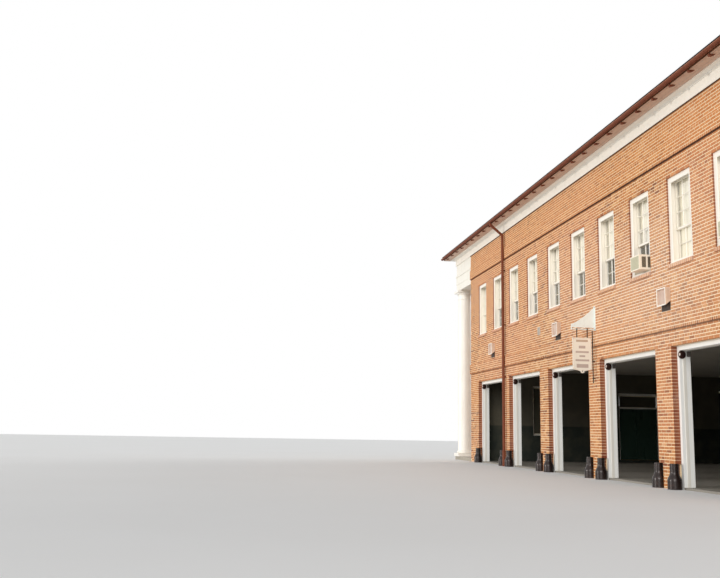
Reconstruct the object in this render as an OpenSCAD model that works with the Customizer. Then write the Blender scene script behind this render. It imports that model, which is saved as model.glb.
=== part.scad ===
// Two-storey brick fire station: five truck bays under ten sash windows on the long side,
// a gable roof of slate and a columned portico with a pediment across the far end.
// Millimetres, +Z up. The bay side faces -Y and the portico faces -X.
// The origin lies on the ground, at the centre of the brick walls' plan.

/* [Brick shell] */
// Number of truck bays
bay_count = 5; // [2:1:6]
// Distance from one bay's centre to the next
bay_pitch = 4020; // [3700:10:4600]
// Clear width of a bay in the brickwork
bay_w = 3250; // [2800:10:3500]
// Height of a bay's head above the ground
bay_h = 3239; // [2900:1:3400]
// Width of the end piers at the building's corners
end_pier_w = 1145; // [800:5:2000]
// Width of the building from the bay side to the rear
house_d = 14600; // [12000:50:18000]
// Thickness of the brick walls
wall_t = 410; // [300:10:500]
// Height of the projecting brick belts, five courses
belt_h = 381; // [300:1:460]
// How far the belts stand out of the wall
belt_proj = 38; // [20:1:60]
// Underside of the lower belt
lower_belt_z = 3620; // [3450:10:3800]
// Underside of the upper belt
upper_belt_z = 7658; // [7450:1:7800]
// Height of the notched foot of each pier
pier_notch_h = 572; // [400:2:900]
// Side of the notch in each pier's front corners, where the wheel guards stand
pier_notch_w = 190; // [170:5:240]

/* [Floors] */
// Thickness of the ground slab
slab_t = 50; // [30:5:120]
// Top of the upper floor
upper_floor_z = 4020; // [3900:10:4300]
// Thickness of the upper floor
upper_floor_t = 280; // [200:10:400]
// Underside of the attic floor
attic_z = 7900; // [7500:10:8300]
// Thickness of the attic floor
attic_t = 220; // [150:10:300]

/* [Windows] */
// Width of a window's opening in the brickwork
window_w = 1090; // [700:10:1150]
// Height of the upper sills above the ground
sill_z = 5144; // [4900:1:5300]
// Height of the upper window heads above the ground
head_z = 7201; // [6900:1:7400]
// Height of the ground storey sills at the rear and the ends
low_sill_z = 1105; // [900:5:1400]
// Width of a window frame's face
frame_w = 62; // [40:1:90]
// Depth of a window frame
frame_d = 220; // [210:5:280]
// How far a window frame lies behind the brick face
frame_back = 50; // [30:1:80]
// How far the upper sash lies behind the frame's face
sash_back = 120; // [90:5:130]
// Width of a sash's stiles and rails
sash_w = 48; // [35:1:70]
// Thickness of a sash
sash_t = 40; // [30:1:50]
// Thickness of the window glass
glass_t = 6; // [4:1:12]
// Height of the lower sash's share of the frame
lower_sash_h = 790; // [700:10:1000]
// How far a brick sill stands out of the wall
sill_proj = 50; // [30:1:90]
// Height of a brick sill's front edge
sill_h = 100; // [60:5:140]
// Distance between the window axes of the two end walls
end_window_pitch = 4200; // [2500:50:4800]

/* [Bay frames] */
// Depth of the brick reveal in front of a bay's frame
bay_reveal = 140; // [80:5:180]
// Width of a bay frame's jamb
jamb_w = 95; // [60:5:120]
// Height of a bay frame's header
header_h = 105; // [80:5:160]
// Radius of the alarm bell's gong in each bay
bell_r = 94; // [60:2:104]

/* [Cornice and roof] */
// Underside of the frieze board above the ground
frieze_z = 8695; // [8500:5:8800]
// Height of the frieze board
frieze_h = 255; // [150:5:300]
// Thickness of the frieze board
frieze_t = 38; // [20:1:60]
// Height of the bed moulding between the frieze and the soffit
bed_h = 65; // [50:5:120]
// How far the bed moulding stands out of the wall
bed_proj = 200; // [120:5:300]
// How far the gutter's outer edge stands out of the wall
eave_proj = 620; // [500:10:800]
// Thickness of the soffit, fascia and raking boards
board_t = 25; // [15:1:35]
// Height of the fascia board above the soffit's underside
fascia_h = 70; // [50:5:140]
// Length of the cornice's closed returns on the near gable
return_l = 900; // [500:50:1500]
// Height of the raking frieze, square to its slope
rake_frieze_h = 170; // [100:5:240]
// Radius of the half-round gutter
gutter_r = 62; // [50:1:80]
// Thickness of the gutter's metal
sheet_t = 3; // [2:1:6]
// Slope of the roof in degrees
roof_pitch = 26; // [18:1:34]
// Thickness of the roof, square to its slope
roof_t = 150; // [100:10:200]
// Height of the roof's cut edge above the fascia
roof_edge_h = 60; // [40:5:90]

/* [Portico] */
// How far the portico's front beam stands out of the end wall
portico_d = 2400; // [1800:20:3200]
// Underside of the portico's beams above the ground
beam_z = 7500; // [7300:10:7620]
// Width of the portico's beams
beam_w = 560; // [450:10:700]
// Height of the architrave's lower face
architrave_low_h = 290; // [150:10:350]
// Height of the architrave's upper face
architrave_high_h = 350; // [150:10:420]
// Height of the moulding on top of the architrave
taenia_h = 80; // [40:5:120]
// How far that moulding stands out of the frieze
taenia_proj = 42; // [20:2:70]
// Height of the portico's step
step_h = 150; // [120:5:200]
// How far the step runs past the front beam
step_out = 260; // [200:10:500]
// Radius of a column at its foot
column_r = 290; // [240:5:310]
// Radius of a column below its capital
column_top_r = 270; // [180:5:290]
// Side of a column's square plinth and cap
plinth_w = 760; // [720:10:900]
// Thickness of the portico's ceiling
ceiling_t = 40; // [25:5:80]

/* [Entrance] */
// Width of the entrance opening
entrance_w = 1900; // [1500:10:2200]
// Height of the entrance opening
entrance_h = 2800; // [2500:10:3100]
// Height of the entrance doors
door_h = 2150; // [2000:10:2250]
// Thickness of the entrance doors
door_t = 50; // [40:5:70]
// Width of the doors' stiles and rails
stile_w = 115; // [80:5:140]

/* [Fittings] */
// Radius of a downspout pipe
spout_r = 50; // [35:1:65]
// Gap between a downspout and the wall
spout_gap = 45; // [40:1:90]
// Length of the sign's bracket out of the wall
bracket_l = 700; // [600:10:900]
// Height of the sign's bracket plate at the wall
bracket_h = 630; // [500:10:900]
// Height of the bracket's bar above the ground
bracket_z = 4090; // [4060:10:4300]
// Thickness of the bracket plate
bracket_t = 12; // [8:1:20]
// Radius of the round bar that the sign hangs on
bar_r = 14; // [10:1:20]
// Radial play of the sign's eyes on the bar
eye_play = 0.8; // [0.5:0.1:2]
// Width of the hanging sign
sign_w = 545; // [400:5:560]
// Height of the hanging sign, down to its point
sign_h = 985; // [700:5:1200]
// Thickness of the hanging sign
sign_t = 26; // [18:1:40]
// Length of the straps from the bar to the sign
strap_l = 240; // [100:5:300]
// Radius of a wheel guard at the ground
guard_r = 158; // [120:2:165]
// Radius of a wheel guard's neck
guard_neck_r = 98; // [70:2:110]
// Width of a wall lamp
lamp_w = 430; // [300:10:500]
// Height of a wall lamp
lamp_h = 420; // [260:10:500]
// How far a wall lamp stands out of the wall
lamp_d = 130; // [90:5:180]
// Height of the wall lamps' centres
lamp_z = 4400; // [4250:10:4450]
// Distance of the first wall lamp from the portico corner
lamp_first = 3220; // [2500:10:4000]
// Distance from one wall lamp to the next
lamp_pitch = 6930; // [5000:10:8000]
// Distance of the wall vent from the portico corner
vent_x = 8440; // [8000:10:8700]
// Height of the wall vent's centre
vent_z = 4540; // [4300:10:4700]
// Width of the wall vent
vent_w = 200; // [150:10:300]
// Height of the wall vent
vent_h = 250; // [180:10:300]
// Width of a window air conditioner
cooler_w = 480; // [420:10:560]
// Height of a window air conditioner
cooler_h = 370; // [330:10:450]
// How far a window air conditioner stands out of the wall
cooler_proj = 250; // [150:10:400]
// Width of the panel between an air conditioner and the frame on its near side
cooler_gap = 30; // [10:5:60]

/* [Hidden] */
$fn = 48;

// Gap left where curved or sloping faces seat on each other
seat = 0.3;
// How far a cutting shape runs past what it cuts, and how far joined shapes run into each other
over = 1;

// Plan of the brick shell
pier_w = bay_pitch - bay_w;
brick_l = bay_count * bay_pitch - pier_w + 2 * end_pier_w;
half_l = brick_l / 2;
half_d = house_d / 2;
inner_l = half_l - wall_t;
inner_d = half_d - wall_t;

// Windows
window_h = head_z - sill_z;
sash_half = window_w / 2 - frame_w;
pane_half = sash_half - sash_w;
upper_sash_y = frame_back + sash_back;
lower_sash_y = upper_sash_y + sash_t;

// Cornice and roof levels
cornice_reach = eave_proj - 2 * gutter_r;
soffit_z = frieze_z + frieze_h + bed_h;
fascia_top = soffit_z + fascia_h;
fascia_y = half_d + cornice_reach;
roof_slope = tan(roof_pitch);
roof_drop = roof_t / cos(roof_pitch);
roof_edge_y = fascia_y + gutter_r;
roof_edge_z = fascia_top + roof_edge_h;
ridge_z = roof_edge_z + roof_edge_y * roof_slope;
far_face = -half_l - portico_d;
roof_far_x = far_face - cornice_reach + seat;
roof_near_x = half_l + cornice_reach - seat;
verge_far_x = far_face - cornice_reach - board_t;
verge_near_x = half_l + cornice_reach + board_t;

// Places along the bay side
function bay_x(i) = (i - (bay_count - 1) / 2) * bay_pitch;
function window_x(k) = (k - (2 * bay_count - 1) / 2) * bay_pitch / 2;
bays = [for (i = [0:bay_count - 1]) bay_x(i)];
window_axes = [for (k = [0:2 * bay_count - 1]) window_x(k)];
end_axes = [-end_window_pitch, 0, end_window_pitch];
side_axes = [-end_window_pitch, end_window_pitch];
spout_x = bays[0] + bay_pitch / 2;
lamp_count = floor((brick_l - 2 * lamp_first) / lamp_pitch) + 1;
lamp_axes = [for (i = [0:lamp_count - 1]) lamp_first - half_l + i * lamp_pitch];
cooler_1 = 2 * bay_count - 3;
cooler_2 = 2 * bay_count - 1;
cooler_axes = [window_x(cooler_1), window_x(cooler_2)];
plain_axes = [for (k = [0:2 * bay_count - 1]) if (k != cooler_1 && k != cooler_2) window_x(k)];

// The wheel guards' axes, inside the pier's edge and in front of the brick face
guard_in = 15;
half_turn = 180;
guard_front = 30;

// The sign hangs beside the pier after the middle bay
sign_shift = 130;
sign_x = bays[ceil(bay_count / 2) - 1] + bay_pitch / 2 + sign_shift;
sign_tip = 30;
bracket_y = -half_d - bracket_l;
sign_y = bracket_y + sign_tip + sign_w / 2;
sign_top = bracket_z - strap_l;
eye_wall = 14;
eye_r = bar_r + eye_play + eye_wall;
plate_lift = 20;

// Entrance
entrance_clear = entrance_w / 2 - jamb_w;
transom_z = step_h + door_h + frame_w;
transom_top = step_h + entrance_h - jamb_w;

// Columns stand under the middle of the front beam
column_x = far_face + beam_w / 2;
column_count = 4;
column_span = house_d - beam_w;
column_ys = [for (i = [0:column_count - 1]) (i / (column_count - 1) - 1 / 2) * column_span];

// Height of the roof's underside at a distance from the ridge
function roof_under(y) = roof_edge_z + (roof_edge_y - abs(y)) * roof_slope - roof_drop - seat;

// Points of a hollow quarter curve that starts upright and ends level
function cove(from, to, steps = 6) = [for (i = [0:steps]) let (a = 90 * i / steps)
    [from[0] + (to[0] - from[0]) * (1 - cos(a)), from[1] + (to[1] - from[1]) * sin(a)]];

// Points of a full quarter curve that starts level and ends upright
function quarter_round(from, to, steps = 6) = [for (i = [0:steps]) let (a = 90 * i / steps)
    [from[0] + (to[0] - from[0]) * sin(a), from[1] + (to[1] - from[1]) * (1 - cos(a))]];

// A box given by its lowest and highest corners
module span(low, high) {
    translate(low) cube(high - low);
}

// Places its children on the rear wall, as they lie on the bay side
module on_rear() {
    rotate([0, 0, 180]) children();
}

// Places its children, drawn for the bay side, on the near end wall
module on_near_end() {
    translate([half_l - half_d, 0, 0]) rotate([0, 0, 90]) children();
}

// Places its children, drawn for the bay side, on the portico end wall
module on_portico_end() {
    translate([half_d - half_l, 0, 0]) rotate([0, 0, -90]) children();
}

// Extrudes a section, drawn as distance out of the wall and height, along the wall at y = -half_d
module along_wall(x0, x1) {
    translate([x1, -half_d, 0]) rotate([90, 0, -90]) linear_extrude(x1 - x0) children();
}

// Extrudes a section, drawn as distance from the ridge line and height, along the building
module along_roof(x0, x1) {
    translate([x1, 0, 0]) rotate([90, 0, -90]) linear_extrude(x1 - x0) children();
}

// A window's hole through the wall at y = -half_d
module window_hole(x, z) {
    span([x - window_w / 2, -half_d - over, z], [x + window_w / 2, -inner_d + over, z + window_h]);
}

// A brick sill with a sloping top, under a window of the wall at y = -half_d
module brick_sill(x, z) {
    sill_fall = 20;
    translate([0, 0, z]) along_wall(x - window_w / 2, x + window_w / 2) polygon([
        [-frame_back, 0],
        [0, 0],
        [sill_proj, -sill_fall],
        [sill_proj, -sill_h],
        [-frame_back, -sill_h]
    ]);
}

// A long wall at y = -half_d from the given height up to the roof
module long_wall(bottom) {
    along_wall(-half_l, half_l) polygon([
        [0, bottom],
        [-wall_t, bottom],
        [-wall_t, roof_under(inner_d)],
        [0, roof_under(half_d)]
    ]);
}

// A projecting belt along the wall at y = -half_d
module belt(x0, x1, z) {
    span([x0, -half_d - belt_proj, z], [x1, -half_d, z + belt_h]);
}

module ground_slab() {
    color("lightgray") {
        span([-inner_l, -inner_d, 0], [inner_l, inner_d, slab_t]);
        for (x = bays)
            span([x - bay_w / 2 + jamb_w, -half_d + bay_reveal, 0],
                [x + bay_w / 2 - jamb_w, -inner_d + over, slab_t]);
    }
}

module upper_floor() {
    color("lightgray")
        span([-inner_l, -inner_d, upper_floor_z - upper_floor_t], [inner_l, inner_d, upper_floor_z]);
}

module attic_floor() {
    color("tan") span([-inner_l, -inner_d, attic_z], [inner_l, inner_d, attic_z + attic_t]);
}

// One pier, with its two front corners cut back at the foot where asked
module pier(x0, x1, notch_left, notch_right) {
    notch_y = -half_d + pier_notch_w;
    difference() {
        span([x0, -half_d, 0], [x1, -inner_d, bay_h]);
        if (notch_left)
            span([x0 - over, -half_d - over, -over], [x0 + pier_notch_w, notch_y, pier_notch_h]);
        if (notch_right)
            span([x1 - pier_notch_w, -half_d - over, -over], [x1 + over, notch_y, pier_notch_h]);
    }
}

module front_piers() {
    color("peru") {
        pier(-half_l, bays[0] - bay_w / 2, false, true);
        for (i = [0:bay_count - 2])
            pier(bays[i] + bay_w / 2, bays[i + 1] - bay_w / 2, true, true);
        pier(bays[bay_count - 1] + bay_w / 2, half_l, true, false);
    }
}

module front_wall() {
    color("peru") difference() {
        union() {
            long_wall(bay_h);
            belt(-half_l - belt_proj, half_l + belt_proj, lower_belt_z);
            belt(-half_l, half_l + belt_proj, upper_belt_z);
            for (x = window_axes) brick_sill(x, sill_z);
        }
        for (x = window_axes) window_hole(x, sill_z);
    }
}

module rear_wall() {
    color("peru") on_rear() difference() {
        union() {
            long_wall(0);
            belt(-half_l - belt_proj, half_l + belt_proj, lower_belt_z);
            belt(-half_l - belt_proj, half_l, upper_belt_z);
            for (x = window_axes) brick_sill(x, sill_z);
            for (x = bays) brick_sill(x, low_sill_z);
        }
        for (x = window_axes) window_hole(x, sill_z);
        for (x = bays) window_hole(x, low_sill_z);
    }
}

// A gable wall between the long walls, up to the roof, with its face at y = -half_d
module gable_wall() {
    translate([0, -inner_d, 0]) rotate([90, 0, 0]) linear_extrude(wall_t) polygon([
        [-inner_d, 0],
        [inner_d, 0],
        [inner_d, roof_under(inner_d)],
        [0, roof_under(0)],
        [-inner_d, roof_under(inner_d)]
    ]);
}

module near_end_wall() {
    color("peru") on_near_end() difference() {
        union() {
            gable_wall();
            for (z = [lower_belt_z, upper_belt_z]) belt(-half_d, half_d, z);
            for (x = end_axes) brick_sill(x, sill_z);
            for (x = end_axes) brick_sill(x, low_sill_z);
        }
        for (x = end_axes) window_hole(x, sill_z);
        for (x = end_axes) window_hole(x, low_sill_z);
    }
}

module portico_end_wall() {
    color("peru") on_portico_end() difference() {
        union() {
            gable_wall();
            belt(-half_d, half_d, lower_belt_z);
            for (x = end_axes) brick_sill(x, sill_z);
            for (x = side_axes) brick_sill(x, low_sill_z);
        }
        for (x = end_axes) window_hole(x, sill_z);
        for (x = side_axes) window_hole(x, low_sill_z);
        span([-entrance_w / 2, -half_d - over, step_h],
            [entrance_w / 2, -inner_d + over, step_h + entrance_h]);
    }
}

// Frame of one bay: two jambs and a header, open at the ground
module bay_frame(x) {
    difference() {
        span([x - bay_w / 2, -half_d + bay_reveal, 0], [x + bay_w / 2, -inner_d, bay_h]);
        span([x - bay_w / 2 + jamb_w, -half_d, -over],
            [x + bay_w / 2 - jamb_w, -inner_d + over, bay_h - header_h]);
    }
}

module bay_frames() {
    color("white") for (x = bays) bay_frame(x);
}

// Radius of a wheel guard's shoulder, a share of the way down from its neck
function shoulder_r(share) = guard_neck_r + (guard_r - guard_neck_r) * (1 - cos(half_turn * share)) / 2;

// Cast guard under a pier's notched corner, with a neck, rounded shoulders and a straight foot
module wheel_guard() {
    foot_h = 190;
    neck_h = 190;
    steps = 10;
    fall = pier_notch_h - neck_h - foot_h;
    rotate_extrude() polygon(concat(
        [[0, pier_notch_h], [guard_neck_r, pier_notch_h]],
        [for (i = [0:steps]) [shoulder_r(i / steps), foot_h + fall * (1 - i / steps)]],
        [[guard_r, 0], [0, 0]]
    ));
}

module wheel_guards() {
    color("black") for (x = bays) for (side = [-1, 1])
        translate([x + side * (bay_w / 2 + guard_in), -half_d - guard_front, 0]) wheel_guard();
}

// An alarm bell with a domed gong, on the inner face of each bay's far jamb
module bay_bells() {
    bell_back = 55;
    bell_drop = 4;
    mount_r = 32;
    mount_d = 20;
    rim_d = 10;
    dome_d = 34;
    color("black") for (x = bays)
        translate([x - bay_w / 2 + jamb_w, -half_d + bay_reveal + bell_back,
            bay_h - header_h - bell_drop - bell_r])
            rotate([0, 90, 0]) rotate_extrude() polygon(concat(
                [[0, 0], [mount_r, 0], [mount_r, mount_d], [bell_r, mount_d]],
                cove([bell_r, mount_d + rim_d], [0, mount_d + rim_d + dome_d])
            ));
}

// Frame of one window in the wall at y = -half_d
module window_frame(x, z) {
    frame_y = -half_d + frame_back;
    difference() {
        span([x - window_w / 2, frame_y, z], [x + window_w / 2, frame_y + frame_d, z + window_h]);
        span([x - sash_half, -half_d, z + frame_w], [x + sash_half, -inner_d, z + window_h - frame_w]);
    }
}

// A sash's ring between two heights, with its face at the given distance behind the wall's face
module sash(x, z0, z1, back) {
    y0 = -half_d + back;
    difference() {
        span([x - sash_half, y0, z0], [x + sash_half, y0 + sash_t, z1]);
        span([x - pane_half, y0 - over, z0 + sash_w], [x + pane_half, y0 + sash_t + over, z1 - sash_w]);
    }
}

// The pane in a sash
module pane(x, z0, z1, back) {
    y0 = -half_d + back + (sash_t - glass_t) / 2;
    span([x - pane_half, y0, z0 + sash_w], [x + pane_half, y0 + glass_t, z1 - sash_w]);
}

// Both sashes of a double-hung window; the lower one slides up inside the upper one
module sashes(x, z, lift = 0) {
    low = z + frame_w;
    meet = low + lower_sash_h;
    sash(x, meet - sash_w, z + window_h - frame_w, upper_sash_y);
    sash(x, low + lift, meet + lift, lower_sash_y);
}

module panes(x, z, lift = 0) {
    low = z + frame_w;
    meet = low + lower_sash_h;
    pane(x, meet - sash_w, z + window_h - frame_w, upper_sash_y);
    pane(x, low + lift, meet + lift, lower_sash_y);
}

module front_window_frames() {
    color("white") for (x = window_axes) window_frame(x, sill_z);
}

module front_sashes() {
    color("white") {
        for (x = plain_axes) sashes(x, sill_z);
        for (x = cooler_axes) sashes(x, sill_z, cooler_h);
    }
}

module front_glass() {
    color("lightblue") {
        for (x = plain_axes) panes(x, sill_z);
        for (x = cooler_axes) panes(x, sill_z, cooler_h);
    }
}

module rear_window_frames() {
    color("white") on_rear() {
        for (x = window_axes) window_frame(x, sill_z);
        for (x = bays) window_frame(x, low_sill_z);
    }
}

module rear_sashes() {
    color("white") on_rear() {
        for (x = window_axes) sashes(x, sill_z);
        for (x = bays) sashes(x, low_sill_z);
    }
}

module rear_glass() {
    color("lightblue") on_rear() {
        for (x = window_axes) panes(x, sill_z);
        for (x = bays) panes(x, low_sill_z);
    }
}

module end_window_frames() {
    color("white") {
        on_near_end() for (x = end_axes) for (z = [sill_z, low_sill_z]) window_frame(x, z);
        on_portico_end() {
            for (x = end_axes) window_frame(x, sill_z);
            for (x = side_axes) window_frame(x, low_sill_z);
        }
    }
}

module end_sashes() {
    color("white") {
        on_near_end() for (x = end_axes) for (z = [sill_z, low_sill_z]) sashes(x, z);
        on_portico_end() {
            for (x = end_axes) sashes(x, sill_z);
            for (x = side_axes) sashes(x, low_sill_z);
        }
    }
}

module end_glass() {
    color("lightblue") {
        on_near_end() for (x = end_axes) for (z = [sill_z, low_sill_z]) panes(x, z);
        on_portico_end() {
            for (x = end_axes) panes(x, sill_z);
            for (x = side_axes) panes(x, low_sill_z);
            span([-entrance_clear, -half_d + upper_sash_y, transom_z],
                [entrance_clear, -half_d + upper_sash_y + glass_t, transom_top]);
        }
    }
}

// Box lamps whose underside slopes, with a lens set back in the front
module wall_lamps() {
    low_rise = 110;
    rim_w = 28;
    lens_back = 40;
    color("beige") for (x = lamp_axes) translate([0, 0, lamp_z]) difference() {
        along_wall(x - lamp_w / 2, x + lamp_w / 2) polygon([
            [0, low_rise - lamp_h / 2],
            [lamp_d, -lamp_h / 2],
            [lamp_d, lamp_h / 2],
            [0, lamp_h / 2]
        ]);
        span([x - lamp_w / 2 + rim_w, -half_d - lamp_d - over, -lamp_h / 2 + rim_w],
            [x + lamp_w / 2 - rim_w, -half_d - lamp_d + lens_back, lamp_h / 2 - rim_w]);
    }
}

// Air conditioners under raised lower sashes, closed off by a panel on either side
module air_conditioners() {
    inside = 150;
    panel_t = 10;
    vent_in = 65;
    vent_l = 110;
    vent_back = 8;
    vent_low = 50;
    divider = 45;
    back_y = -half_d + lower_sash_y + sash_t;
    panel_y = back_y - sash_t / 2;
    face_y = -half_d - cooler_proj;
    low = sill_z + frame_w;
    color("beige") for (x = cooler_axes) {
        x1 = x + sash_half - cooler_gap;
        x0 = x1 - cooler_w;
        difference() {
            span([x0, face_y, low], [x1, back_y + inside, low + cooler_h]);
            for (side_x = [x0, x1]) for (y = [face_y + vent_in, face_y + vent_in + vent_l + divider])
                span([side_x - vent_back, y, low + vent_low],
                    [side_x + vent_back, y + vent_l, low + cooler_h - vent_low]);
        }
        span([x - sash_half, panel_y, low], [x0, panel_y + panel_t, low + cooler_h]);
        span([x1, panel_y, low], [x + sash_half, panel_y + panel_t, low + cooler_h]);
    }
}

// A louvred vent: a frame with slanting blades
module wall_vent() {
    vent_d = 30;
    rim_w = 18;
    back_t = 4;
    blade_count = 6;
    blade_t = 5;
    pitch = (vent_h - 2 * rim_w) / blade_count;
    color("lightgray") translate([vent_x - half_l, 0, vent_z]) {
        difference() {
            span([-vent_w / 2, -half_d - vent_d, -vent_h / 2], [vent_w / 2, -half_d, vent_h / 2]);
            span([-vent_w / 2 + rim_w, -half_d - vent_d - over, -vent_h / 2 + rim_w],
                [vent_w / 2 - rim_w, -half_d - back_t, vent_h / 2 - rim_w]);
        }
        for (i = [0:blade_count - 1]) translate([0, 0, rim_w - vent_h / 2 + i * pitch])
            along_wall(-vent_w / 2 + rim_w - over, vent_w / 2 - rim_w + over) polygon([
                [back_t - over, pitch - 2 * blade_t],
                [vent_d - back_t, blade_t],
                [vent_d - back_t, 2 * blade_t],
                [back_t - over, pitch - blade_t]
            ]);
    }
}

// A pale plate with a hollow upper edge above a round bar, held by a foot on the wall
// and a hanger at the tip
module sign_bracket() {
    foot_t = 14;
    foot_w = 120;
    foot_over = 20;
    foot_under = 30;
    hanger_w = 12;
    hanger_wall = 6;
    tip_h = 130;
    sag = 0.4;
    edge_steps = 6;
    plate_low = eye_r + plate_lift;
    edge_l = bracket_l - foot_t;
    edge_fall = bracket_h - tip_h;
    color("ivory") {
        translate([sign_x + bracket_t / 2, -half_d, bracket_z]) rotate([90, 0, -90])
            linear_extrude(bracket_t) polygon(concat(
                [[foot_t - over, plate_low], [foot_t - over, bracket_h]],
                [for (i = [0:edge_steps]) let (t = i / edge_steps)
                    [foot_t + t * edge_l, bracket_h - (t + sag * t * (1 - t)) * edge_fall]],
                [[bracket_l, plate_low]]
            ));
        translate([sign_x, -half_d - foot_t + over, bracket_z])
            rotate([90, 0, 0]) cylinder(r = bar_r, h = bracket_l - foot_t - hanger_w / 2);
        span([sign_x - bar_r - hanger_wall, bracket_y, bracket_z - bar_r - hanger_wall],
            [sign_x + bar_r + hanger_wall, bracket_y + hanger_w, bracket_z + plate_low + plate_lift]);
        span([sign_x - foot_w / 2, -half_d - foot_t, bracket_z - foot_under],
            [sign_x + foot_w / 2, -half_d, bracket_z + bracket_h + foot_over]);
    }
}

// The hanging sign: a board with a shaped, pierced foot, under two straps with eyes on the bar
module sign_board() {
    shoulder_h = 110;
    tongue_r = 55;
    hole_r = 18;
    strap_w = 24;
    strap_t = 16;
    eye_places = [0.24, 0.80];
    tongue_z = -sign_h + tongue_r;
    color("white")
        translate([sign_x - sign_t / 2, sign_y, sign_top]) rotate([90, 0, 90]) linear_extrude(sign_t)
            difference() {
                union() {
                    polygon([
                        [-sign_w / 2, 0],
                        [-sign_w / 2, -sign_h + shoulder_h],
                        [-tongue_r, tongue_z],
                        [tongue_r, tongue_z],
                        [sign_w / 2, -sign_h + shoulder_h],
                        [sign_w / 2, 0]
                    ]);
                    translate([0, tongue_z]) circle(tongue_r);
                }
                translate([0, tongue_z]) circle(hole_r);
            }
    color("black") for (place = eye_places)
        translate([sign_x, sign_y + (place - 1 / 2) * sign_w, 0]) difference() {
            union() {
                translate([0, strap_w / 2, bracket_z]) rotate([90, 0, 0]) cylinder(r = eye_r, h = strap_w);
                span([-strap_t / 2, -strap_w / 2, sign_top - over],
                    [strap_t / 2, strap_w / 2, bracket_z - eye_r + eye_wall / 2]);
            }
            translate([0, strap_w, bracket_z])
                rotate([90, 0, 0]) cylinder(r = bar_r + eye_play, h = 2 * strap_w);
        }
}

module sign_conduit() {
    conduit_r = 14;
    conduit_low = 2600;
    conduit_in = 80;
    conduit_drop = 30;
    color("black")
        translate([sign_x - conduit_in, -half_d - belt_proj - seat - conduit_r, conduit_low])
            cylinder(r = conduit_r, h = bracket_z - conduit_drop - conduit_low);
}

// A downspout from the gutter through a swan neck and down a pier to its boot in the ground
module downspout(x) {
    knee_r = spout_r + 4;
    boot_r = spout_r + 12;
    boot_h = 560;
    collar_h = 40;
    neck_low = frieze_z - 120;
    outlet_h = 60;
    strap_h = 40;
    strap_w = 2 * spout_r + 30;
    pipe_y = -half_d - spout_gap - spout_r;
    outlet_y = -fascia_y - gutter_r;
    outlet_z = fascia_top - gutter_r - sheet_t;
    rise = outlet_z - outlet_h - neck_low;
    run = pipe_y - outlet_y;
    color("sienna") union() {
        translate([x, outlet_y, neck_low + rise]) cylinder(r = spout_r, h = outlet_h);
        translate([x, outlet_y, neck_low + rise]) sphere(r = knee_r);
        translate([x, pipe_y, neck_low])
            rotate([atan2(run, rise), 0, 0]) cylinder(r = spout_r, h = sqrt(run * run + rise * rise));
        translate([x, pipe_y, neck_low]) sphere(r = knee_r);
        translate([x, pipe_y, 0]) cylinder(r = spout_r, h = neck_low);
        translate([x, pipe_y, 0]) cylinder(r = boot_r, h = boot_h);
        translate([x, pipe_y, boot_h - collar_h]) cylinder(r = boot_r + 8, h = collar_h);
        for (z = [lower_belt_z - 10 * strap_h, sill_z, head_z])
            span([x - strap_w / 2, pipe_y, z], [x + strap_w / 2, -half_d, z + strap_h]);
    }
}

module front_downspout() {
    downspout(spout_x);
}

module rear_downspout() {
    mirror([0, 1, 0]) downspout(spout_x);
}

// Frieze board and hollow bed moulding under a soffit, drawn as distance out and height
module frieze_and_bed(board_h) {
    bed_step = 20;
    bed_foot = 10;
    bed_lip = 12;
    step_out_to = frieze_t + bed_step;
    polygon(concat(
        [[0, over], [0, -bed_h - board_h], [frieze_t, -bed_h - board_h], [frieze_t, -bed_h]],
        [[step_out_to, -bed_h]],
        cove([step_out_to, -bed_h + bed_foot], [bed_proj, -bed_lip]),
        [[bed_proj, over]]
    ));
}

// Section of the eaves cornice: frieze, bed moulding, soffit and fascia
module eaves_section() {
    translate([0, soffit_z]) {
        frieze_and_bed(frieze_h);
        square([cornice_reach, board_t]);
        translate([cornice_reach - board_t, 0]) square([board_t, fascia_h]);
    }
}

// Section of a cornice without a roof of its own, closed on top by a sloping wash
module closed_section() {
    wash_fall = 20;
    translate([0, soffit_z]) {
        frieze_and_bed(frieze_h);
        polygon([[0, 0], [cornice_reach, 0], [cornice_reach, fascia_h - wash_fall], [0, fascia_h]]);
    }
}

// A cornice along y = -half_d from x0 to x1, running out to a mitre at the ends where asked
module cornice(x0, x1, mitre_0, mitre_1) {
    out_0 = mitre_0 ? eave_proj : 0;
    out_1 = mitre_1 ? eave_proj : 0;
    intersection() {
        along_wall(x0 - out_0, x1 + out_1) children();
        translate([0, -half_d, frieze_z - over]) linear_extrude(2 * eave_proj)
            polygon([[x0, 0], [x0 - out_0, -eave_proj], [x1 + out_1, -eave_proj], [x1, 0]]);
    }
}

// The cornice of the bay side with its return on the near gable
module front_cornice() {
    color("white") {
        cornice(far_face, half_l, true, true) eaves_section();
        on_near_end() cornice(-half_d, -half_d + return_l, true, false) closed_section();
    }
}

module rear_cornice() {
    mirror([0, 1, 0]) front_cornice();
}

// The level cornice across the portico's front, under the pediment
module portico_cornice() {
    color("white") on_portico_end() translate([0, -portico_d, 0])
        cornice(-half_d, half_d, true, true) closed_section();
}

// Section of the raking cornice, drawn from the soffit's underside, square to the slope
module rake_section() {
    fascia_drop = 15;
    frieze_and_bed(rake_frieze_h);
    square([cornice_reach + board_t, board_t]);
    translate([cornice_reach, -fascia_drop]) square([board_t, fascia_drop + board_t + roof_t]);
}

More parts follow.
